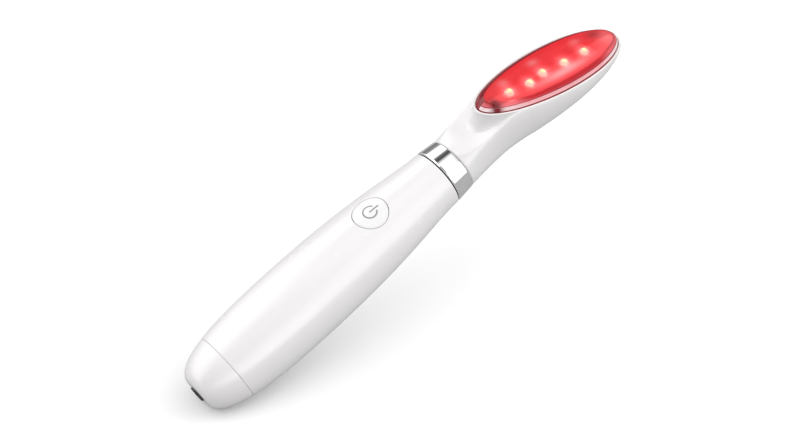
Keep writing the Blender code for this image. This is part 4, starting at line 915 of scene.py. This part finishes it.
def head_piece(looks):
    """The head: a neck with a thumb rest, a bowl, a filleted wall under the window's near end, the
    rim, the recess and a spigot. The spigot is painted dark grey as the shade at the bottom of the
    groove by the collar."""
    form = Form()
    angles = turns(OVAL_SIDES)
    bowl_angles = [a for a in angles if 0.0 < a < FIRST_BOWL_ANGLE + ANGLE_SLACK]
    lower, tops = neck_rows()
    shrink = 1 - EDGE / NECK_RADIUS
    first = [[Vector((NECK_AT, p.y * shrink, p.z * shrink)) for p in row] for row in (lower[0], tops[0])]
    for angle in reversed(bowl_angles):
        along = WINDOW_AT + RIM_REACH * cos(angle)
        half = half_ring(along, bowl_knot(angle), oval_width(angle, RIM_OFFSET), rim_plane(along))
        half[-1] = rim_point(angle, RIM_OFFSET, -EDGE)
        lower.append(other_side(half[1:]) + half)
    form.skin([first[0]] + lower, closed=False)
    form.skin([lower[-1]], closed=False, last=rim_point(0.0, RIM_OFFSET, -EDGE))
    form.skin([first[1]] + tops, closed=False)
    for row in first:
        form.skin([row], closed=False, last=(NECK_AT, 0.0, 0.0))
    near = [a for a in angles if abs(a - pi) < pi - FIRST_BOWL_ANGLE + ANGLE_SLACK]
    form.skin(fillet_rows(near), closed=False)
    form.skin(recess_rows())

    start, end = COLLAR_AT - SPIGOT_IN_HANDLE, NECK_AT + SPIGOT_OVERLAP
    bore = SPIGOT_RADIUS - SPIGOT_WALL
    spigot = [(start, bore, FINE_EDGE), (start, SPIGOT_RADIUS, SPIGOT_EDGE)]
    spigot += [(end, SPIGOT_RADIUS), (end, bore)]
    # The spigot's faces take the painted shade of the groove.
    form.shaded_from = len(form.faces)
    form.skin(turned_rows(eased(spigot), SPIGOT_SIDES))
    dress = ("body_white", "groove")
    form.build(looks, "head_smooth", "body", "body_white", ["head_housing"], dress=dress)


class Nodes:
    """A node tree whose nodes are added one by one."""

    def __init__(self, tree):
        self.tree = tree

    def fill(self, socket, value):
        """Gives a socket a number, a colour, a place or another node's output."""
        if isinstance(value, bpy.types.NodeSocket):
            self.tree.links.new(value, socket)
        elif socket.type == "RGBA":
            socket.default_value = (*value, 1.0)
        else:
            socket.default_value = value

    def node(self, kind, inputs, **properties):
        """Adds a shader node, sets its properties and fills its inputs, which are named or counted."""
        made = self.tree.nodes.new("ShaderNode" + kind)
        for name, value in properties.items():
            setattr(made, name, value)
        for key, value in inputs.items():
            self.fill(made.inputs[key], value)
        return made

    def math(self, operation, *values):
        """A sum or other operation on numbers and outputs."""
        return self.node("Math", dict(enumerate(values)), operation=operation).outputs[0]

    def combined(self, operation, values):
        """One operation over all of some outputs, from the first on."""
        total = values[0]
        for value in values[1:]:
            total = self.math(operation, total, value)
        return total

    def split(self, place):
        """The three parts of a place or direction."""
        return self.node("SeparateXYZ", {0: place}).outputs

    def ramp(self, share, stops, low, high):
        """Colours by a share of the way from low to high, from stops in the same measure."""
        made = self.node("ValToRGB", {0: share})
        elements = made.color_ramp.elements
        while len(elements) > 1:
            elements.remove(elements[-1])
        for i, (at, color) in enumerate(stops):
            position = (at - low) / (high - low)
            stop = elements.new(position) if i else elements[0]
            stop.position = position
            stop.color = (*color, 1.0)
        return made.outputs[0]

    def seen_directly(self):
        """1 for what the camera sees, straight or through glass, and 0 for light and mirrors."""
        path = self.node("LightPath", {}).outputs
        return self.math("MAXIMUM", path["Is Camera Ray"], path["Is Transmission Ray"])


class Look(Nodes):
    """A material. Its patterns are fixed to the object."""

    def __init__(self, name):
        self.material = bpy.data.materials.new(name)
        self.material.use_nodes = True
        super().__init__(self.material.node_tree)
        self.shader = self.tree.nodes["Principled BSDF"]
        self.place = self.node("TexCoord", {}).outputs["Object"]

    def noise(self, scale, detail=3.0, stretch=None):
        """A noise pattern."""
        place = self.place
        if stretch:
            place = self.node("Mapping", {"Vector": place, "Scale": stretch}).outputs[0]
        inputs = {"Vector": place, "Scale": scale, "Detail": detail}
        return self.node("TexNoise", inputs).outputs["Fac"]

    def spread(self, value, low=0.0, high=1.0, middle=PATTERN_MIDDLE, kind="LINEAR"):
        """Maps a value's middle range to low and high."""
        ends = {"From Min": middle[0], "From Max": middle[1], "To Min": low, "To Max": high}
        return self.node("MapRange", {"Value": value, **ends}, interpolation_type=kind).outputs[0]

    def blend(self, share, first, second):
        """Mixes two colours by a share."""
        return self.node("Mix", {0: share, 6: first, 7: second}, data_type="RGBA").outputs[2]

    def mix(self, share, first, second):
        """Mixes two shaders by a share."""
        inputs = {0: share, 1: first.outputs[0], 2: second.outputs[0]}
        return self.node("MixShader", inputs)

    def show(self, shader):
        """Makes a shader the one that is seen."""
        self.fill(self.tree.nodes["Material Output"].inputs["Surface"], shader.outputs[0])

    def set(self, **values):
        """Fills the inputs of the material's own shader, named with underscores for spaces."""
        for name, value in values.items():
            self.fill(self.shader.inputs[name.replace("_", " ")], value)

    def varied(self, pattern, value, swing):
        """A value that follows a pattern up and down by a share of itself."""
        return self.spread(pattern, value * (1.0 - swing), value * (1.0 + swing))

    def bump(self, height, distance):
        """Raises the surface by a pattern, over a distance in metres."""
        made = self.node("Bump", {"Height": height, "Strength": 1.0, "Distance": distance})
        self.set(Normal=made.outputs["Normal"])

    def falling(self, *distances):
        """A soft falloff, 1 at the middle and 0 far away, from pairs of a distance and its reach."""
        squares = [self.math("POWER", self.math("DIVIDE", *pair), 2.0) for pair in distances]
        return self.math("EXPONENT", self.math("MULTIPLY", self.combined("ADD", squares), -1.0))


def moulded(name, color, roughness, relief, tone, **more):
    """Moulded plastic or rubber: a fine grain, with cloudy changes of gloss and colour."""
    look = Look(name)
    clouds = look.noise(PLASTIC_CLOUDS, 4.0)
    darker = tuple(value * (1.0 - tone) for value in color)
    look.set(
        Base_Color=look.blend(look.spread(clouds), color, darker),
        Roughness=look.varied(clouds, roughness, PLASTIC_SWING),
        **more,
    )
    look.bump(look.noise(PLASTIC_GRAIN, 2.0), relief)
    return look.material


def metal(name, color, roughness, stretch, relief):
    """Metal with fine drawn lines along one direction and clouds a little darker."""
    look = Look(name)
    lines = look.noise(METAL_LINES, stretch=stretch)
    darker = tuple(value * (1.0 - METAL_TONE) for value in color)
    look.set(
        Base_Color=look.blend(look.spread(look.noise(METAL_CLOUDS)), color, darker),
        Metallic=1.0,
        Roughness=look.varied(lines, roughness, METAL_SWING),
    )
    look.bump(lines, relief)
    return look.material


def window_look():
    """Cloudy red plastic that lets some light through: pale at the flange, deep in the bevel and
    bright in the flat top. Its glow is painted light for the lights shining through it, and it carries
    painted highlights, painted dark reflections and painted shade on the far edge."""
    look = Look("window red")
    parts = look.split(look.place)
    along, across, height = (look.math("MULTIPLY", part, PER_METRE) for part in parts)
    low, high = WINDOW_RANGE
    share = look.math("DIVIDE", look.math("SUBTRACT", height, low), high - low)
    stops = (WINDOW_BODY, WINDOW_ENDS, WINDOW_GLASS)
    middle, end, clear = (look.ramp(share, row, low, high) for row in stops)
    reach = look.math("ABSOLUTE", along)
    ends = look.spread(reach, middle=(MIDDLE_REACH, ENDS_FROM), kind="SMOOTHSTEP")
    body = look.blend(ends, middle, end)
    # Painted highlights: pale pink patches of light on the top only.
    on_top = look.math("GREATER_THAN", height, TOP_FROM)
    painted_highlight = look.math("MULTIPLY", patches(look, along, across, PAINTED_HIGHLIGHTS), on_top)
    body = look.blend(painted_highlight, body, PAINTED_HIGHLIGHT_COLOR)
    # Painted dark reflections darken patches of the body.
    body = look.blend(patches(look, along, across, PAINTED_DARK_REFLECTIONS), body, DARK_REFLECTION_COLOR)
    # Painted shade: the far side's edge is dark up to a height.
    far_side = look.math("GREATER_THAN", across, 0.0)
    far_edge_shade = look.math("MULTIPLY", far_side, look.math("LESS_THAN", height, FAR_SHADE_HEIGHT))
    body = look.blend(far_edge_shade, body, FAR_SHADE_COLOR)
    clouds = look.noise(WINDOW_CLOUDS)
    body = look.blend(look.spread(clouds, 0.0, CLOUD_SHARE), body, CLOUD_COLOR)
    # Painted glow: the body's colour given off as light, stronger on the flange.
    on_flange = look.math("LESS_THAN", height, FLANGE_TO)
    look.set(
        Base_Color=body,
        Roughness=look.spread(clouds, *WINDOW_ROUGHNESS),
        Emission_Color=body,
        Emission_Strength=look.math("MULTIPLY_ADD", on_flange, FLANGE_GLOW, WINDOW_GLOW),
    )
    look.bump(look.noise(WINDOW_GRAIN, 2.0), WINDOW_RELIEF)
    inputs = {"Color": clear, "Roughness": GLASS_ROUGHNESS, "IOR": GLASS_INDEX}
    glass = look.node("BsdfGlass", inputs)
    look.show(look.mix(WINDOW_CLEARNESS, look.shader, glass))
    return look.material


def patches(look, along, across, spots):
    """Soft oval patches, from rows of place, reach along and across, and strength."""
    made = []
    for x, y, long_reach, wide_reach, strength in spots:
        beyond, beside = look.math("SUBTRACT", along, x), look.math("SUBTRACT", across, y)
        falloff = look.falling((beyond, long_reach), (beside, wide_reach))
        made.append(look.math("MULTIPLY", falloff, strength))
    return look.combined("MAXIMUM", made)


def lens_look():
    """A lit lens, yellow-white in its middle and paler towards its flange."""
    look = Look("light dome")
    sides = [look.math("MULTIPLY", part, PER_METRE) for part in look.split(look.place)[:2]]
    core = look.falling(*((side, LENS_CORE) for side in sides))
    clouds = look.spread(look.noise(LENS_GRAIN, 2.0))
    look.set(
        Base_Color=look.blend(clouds, (0.8, 0.7, 0.6), (0.7, 0.6, 0.5)),
        Roughness=0.3,
        Emission_Color=look.blend(core, (1.0, 0.8, 0.72), (1.0, 0.85, 0.3)),
        Emission_Strength=look.math("MULTIPLY_ADD", core, LENS_GLOW, LENS_RIM_GLOW),
    )
    return look.material


def board_look():
    """The light board: white lacquer with a painted glow for the lights' light on it, brightest round
    each of them. A light's glow is measured in the model's frame."""
    look = Look("light board painted glow")
    apart = []
    for along, across in LIGHTS_AT:
        center = (along + HALO_SHIFT[0], across + HALO_SHIFT[1], -LIGHT_BOARD_DEPTH)
        inputs = {0: look.place, 1: metres(WINDOW_FRAME @ Vector(center))}
        distance = look.node("VectorMath", inputs, operation="DISTANCE").outputs["Value"]
        apart.append(look.math("MULTIPLY", distance, PER_METRE))
    # Painted pools of light round the lights.
    halo = look.falling((look.combined("MINIMUM", apart), HALO_REACH))
    grain = look.noise(BOARD_GRAIN, 2.0)
    look.set(
        Base_Color=look.blend(look.spread(grain), (0.3, 0.26, 0.25), (0.27, 0.23, 0.22)),
        Roughness=0.45,
        Emission_Color=(1.0, 0.9, 0.92),
        Emission_Strength=look.math("MULTIPLY_ADD", halo, HALO_GLOW, BOARD_GLOW),
    )
    look.bump(grain, BOARD_RELIEF)
    return look.material


def all_looks():
    """Every material: those of the record's slots, the painted shade of the groove and the symbol's."""
    looks = {slot: moulded(*row, **COATS.get(slot, {})) for slot, row in PLASTICS.items()}
    looks.update({slot: metal(*row) for slot, row in METALS.items()})
    looks.update(window_red=window_look(), board_white=board_look(), light_dome=lens_look())
    return looks


def dress_nodes(looks):
    """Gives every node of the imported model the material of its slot."""
    slots = {part["node"]: part["material_slot"] for part in frame["record"]["subparts"]}
    for name, node in frame["nodes"].items():
        for holder in node.material_slots:
            holder.material = looks[slots[name]]


# Brightness round the wand, by the angle from straight up towards the camera: what mirrors see over
# the collar and head and over the tail, and the soft light from the tail's end and the head's. The
# ends and fades are by the direction's share along the wand.
MIRROR_STOPS = (
    (-180, 0.36), (-150, 0.42), (-103, 0.21), (-80, 0.36), (-66, 2.25), (-58, 3.2), (-42, 3.2),
    (-35, 0.48), (-26, 0.1), (-16, 0.1), (-8, 0.8), (-2, 1.25), (36, 1.25), (54, 3.2), (86, 3.35),
    (101, 0.96), (112, 0.26), (133, 0.38), (154, 0.45), (180, 0.36),
)
TAIL_MIRROR_STOPS = (
    (-180, 0.8), (-120, 0.6), (-90, 1.2), (-60, 3.4), (-44, 3.6), (-34, 2.9), (-24, 3.5), (-12, 0.9),
    (-4, 0.05), (34, 0.05), (46, 1.35), (60, 3.3), (80, 5.0), (92, 3.4), (110, 2.3), (140, 1.5),
    (180, 0.8),
)
TAIL_SOFT_STOPS = (
    (-180, 1.0), (-130, 1.25), (-90, 1.5), (-60, 1.65), (-30, 1.4), (0, 1.05), (30, 0.3), (90, 0.3),
    (120, 0.55), (150, 0.8), (180, 1.0),
)
HEAD_SOFT_STOPS = (
    (-180, 0.9), (-130, 0.46), (-90, 0.3), (-60, 0.3), (-30, 0.6), (0, 1.85), (30, 2.1), (60, 1.8),
    (90, 1.65), (120, 1.5), (150, 1.25), (180, 0.9),
)
BRIGHTEST = 5.0
MIRROR_ENDS = ((-1.0, 0.42), (-0.6, 0.68), (-0.25, 0.97), (0.0, 1.0), (0.5, 1.0), (0.62, 0.12))
TAIL_MIRROR_FADE = ((0.12, 0.0), (0.22, 1.0))
TAIL_SOFT_FADE = ((-0.5, 0.0), (0.8, 1.0))
FLOOR_BOUNCE = 0.45


def world():
    """Light from all round. The camera and glass see plain white; mirrors see bands along the wand."""
    made = bpy.data.worlds.new("studio")
    bpy.context.scene.world = made
    made.use_nodes = True
    made.node_tree.nodes.clear()
    tree = Nodes(made.node_tree)
    x, y, z = tree.split(tree.node("TexCoord", {}).outputs["Generated"])
    angle = tree.math("ARCTAN2", tree.math("MULTIPLY", y, -1.0), z)
    turn_share = tree.math("MULTIPLY_ADD", angle, 1.0 / (2.0 * pi), 0.5)
    end_share = tree.math("MULTIPLY_ADD", x, 0.5, 0.5)

    def level(stops, share=turn_share, reach=180):
        tones = [(at, (value / BRIGHTEST,) * 3) for at, value in stops]
        return tree.math("MULTIPLY", tree.ramp(share, tones, -reach, reach), BRIGHTEST)

    def faded(first, second, share):
        return tree.math("MULTIPLY_ADD", tree.math("SUBTRACT", second, first), share, first)

    mirror = tree.math("MULTIPLY", level(MIRROR_STOPS), level(MIRROR_ENDS, end_share, 1.0))
    mirror = faded(level(TAIL_MIRROR_STOPS), mirror, level(TAIL_MIRROR_FADE, end_share, 1.0))
    soft = faded(level(TAIL_SOFT_STOPS), level(HEAD_SOFT_STOPS), level(TAIL_SOFT_FADE, end_share, 1.0))
    seen = faded(soft, mirror, tree.node("LightPath", {}).outputs["Is Glossy Ray"])
    strength = faded(seen, 1.0, tree.seen_directly())
    light = tree.node("Background", {"Color": (1.0, 1.0, 1.0), "Strength": strength})
    tree.node("OutputWorld", {"Surface": light.outputs[0]})


def floor():
    """A white surface under the tail, from which the wand leans up as in the photograph."""
    cap = bpy.data.objects["tail_cap_smooth"]
    normal = Vector(FLOOR_NORMAL).normalized()
    lowest = min(normal.dot(cap.matrix_world @ vertex.co) for vertex in cap.data.vertices)
    turn = normal.to_track_quat("Z", "Y").to_matrix().to_4x4()
    bm = bmesh.new()
    bmesh.ops.create_grid(bm, x_segments=FLOOR_CELLS, y_segments=FLOOR_CELLS, size=FLOOR_HALF)
    mesh = mesh_from(bm, "floor")
    made = placed("floor", mesh, Matrix.Translation(normal * lowest) @ turn)
    look = Look("floor white")
    look.tree.nodes.remove(look.shader)
    white, grey = (look.node("BsdfDiffuse", {"Color": (tone,) * 3}) for tone in (1.0, FLOOR_BOUNCE))
    front = look.mix(look.seen_directly(), grey, white)
    clear = look.node("BsdfTransparent", {})
    from_behind = look.node("NewGeometry", {}).outputs["Backfacing"]
    look.show(look.mix(from_behind, front, clear))
    mesh.materials.append(look.material)


def camera():
    """The photograph's view of the wand."""
    right = Vector(CAMERA_RIGHT).normalized()
    up = -Vector(CAMERA_DOWN).normalized()
    back = right.cross(up)
    data = bpy.data.cameras.new("camera")
    data.lens = CAMERA_LENS
    data.sensor_width = CAMERA_SENSOR
    data.clip_start = CAMERA_CLIP_START
    turn = Matrix((right, up, back)).transposed().to_4x4()
    bpy.context.scene.camera = placed("camera", data, Matrix.Translation(CAMERA_AT) @ turn)


bpy.context.scene.view_settings.view_transform = "Standard"
camera()
world()
looks = all_looks()
dress_nodes(looks)
for piece in (
    handle_piece, cap_piece, jack_piece, collar_piece, button_piece, symbol_piece, head_piece,
    window_piece, light_pieces,
):
    piece(looks)
floor()
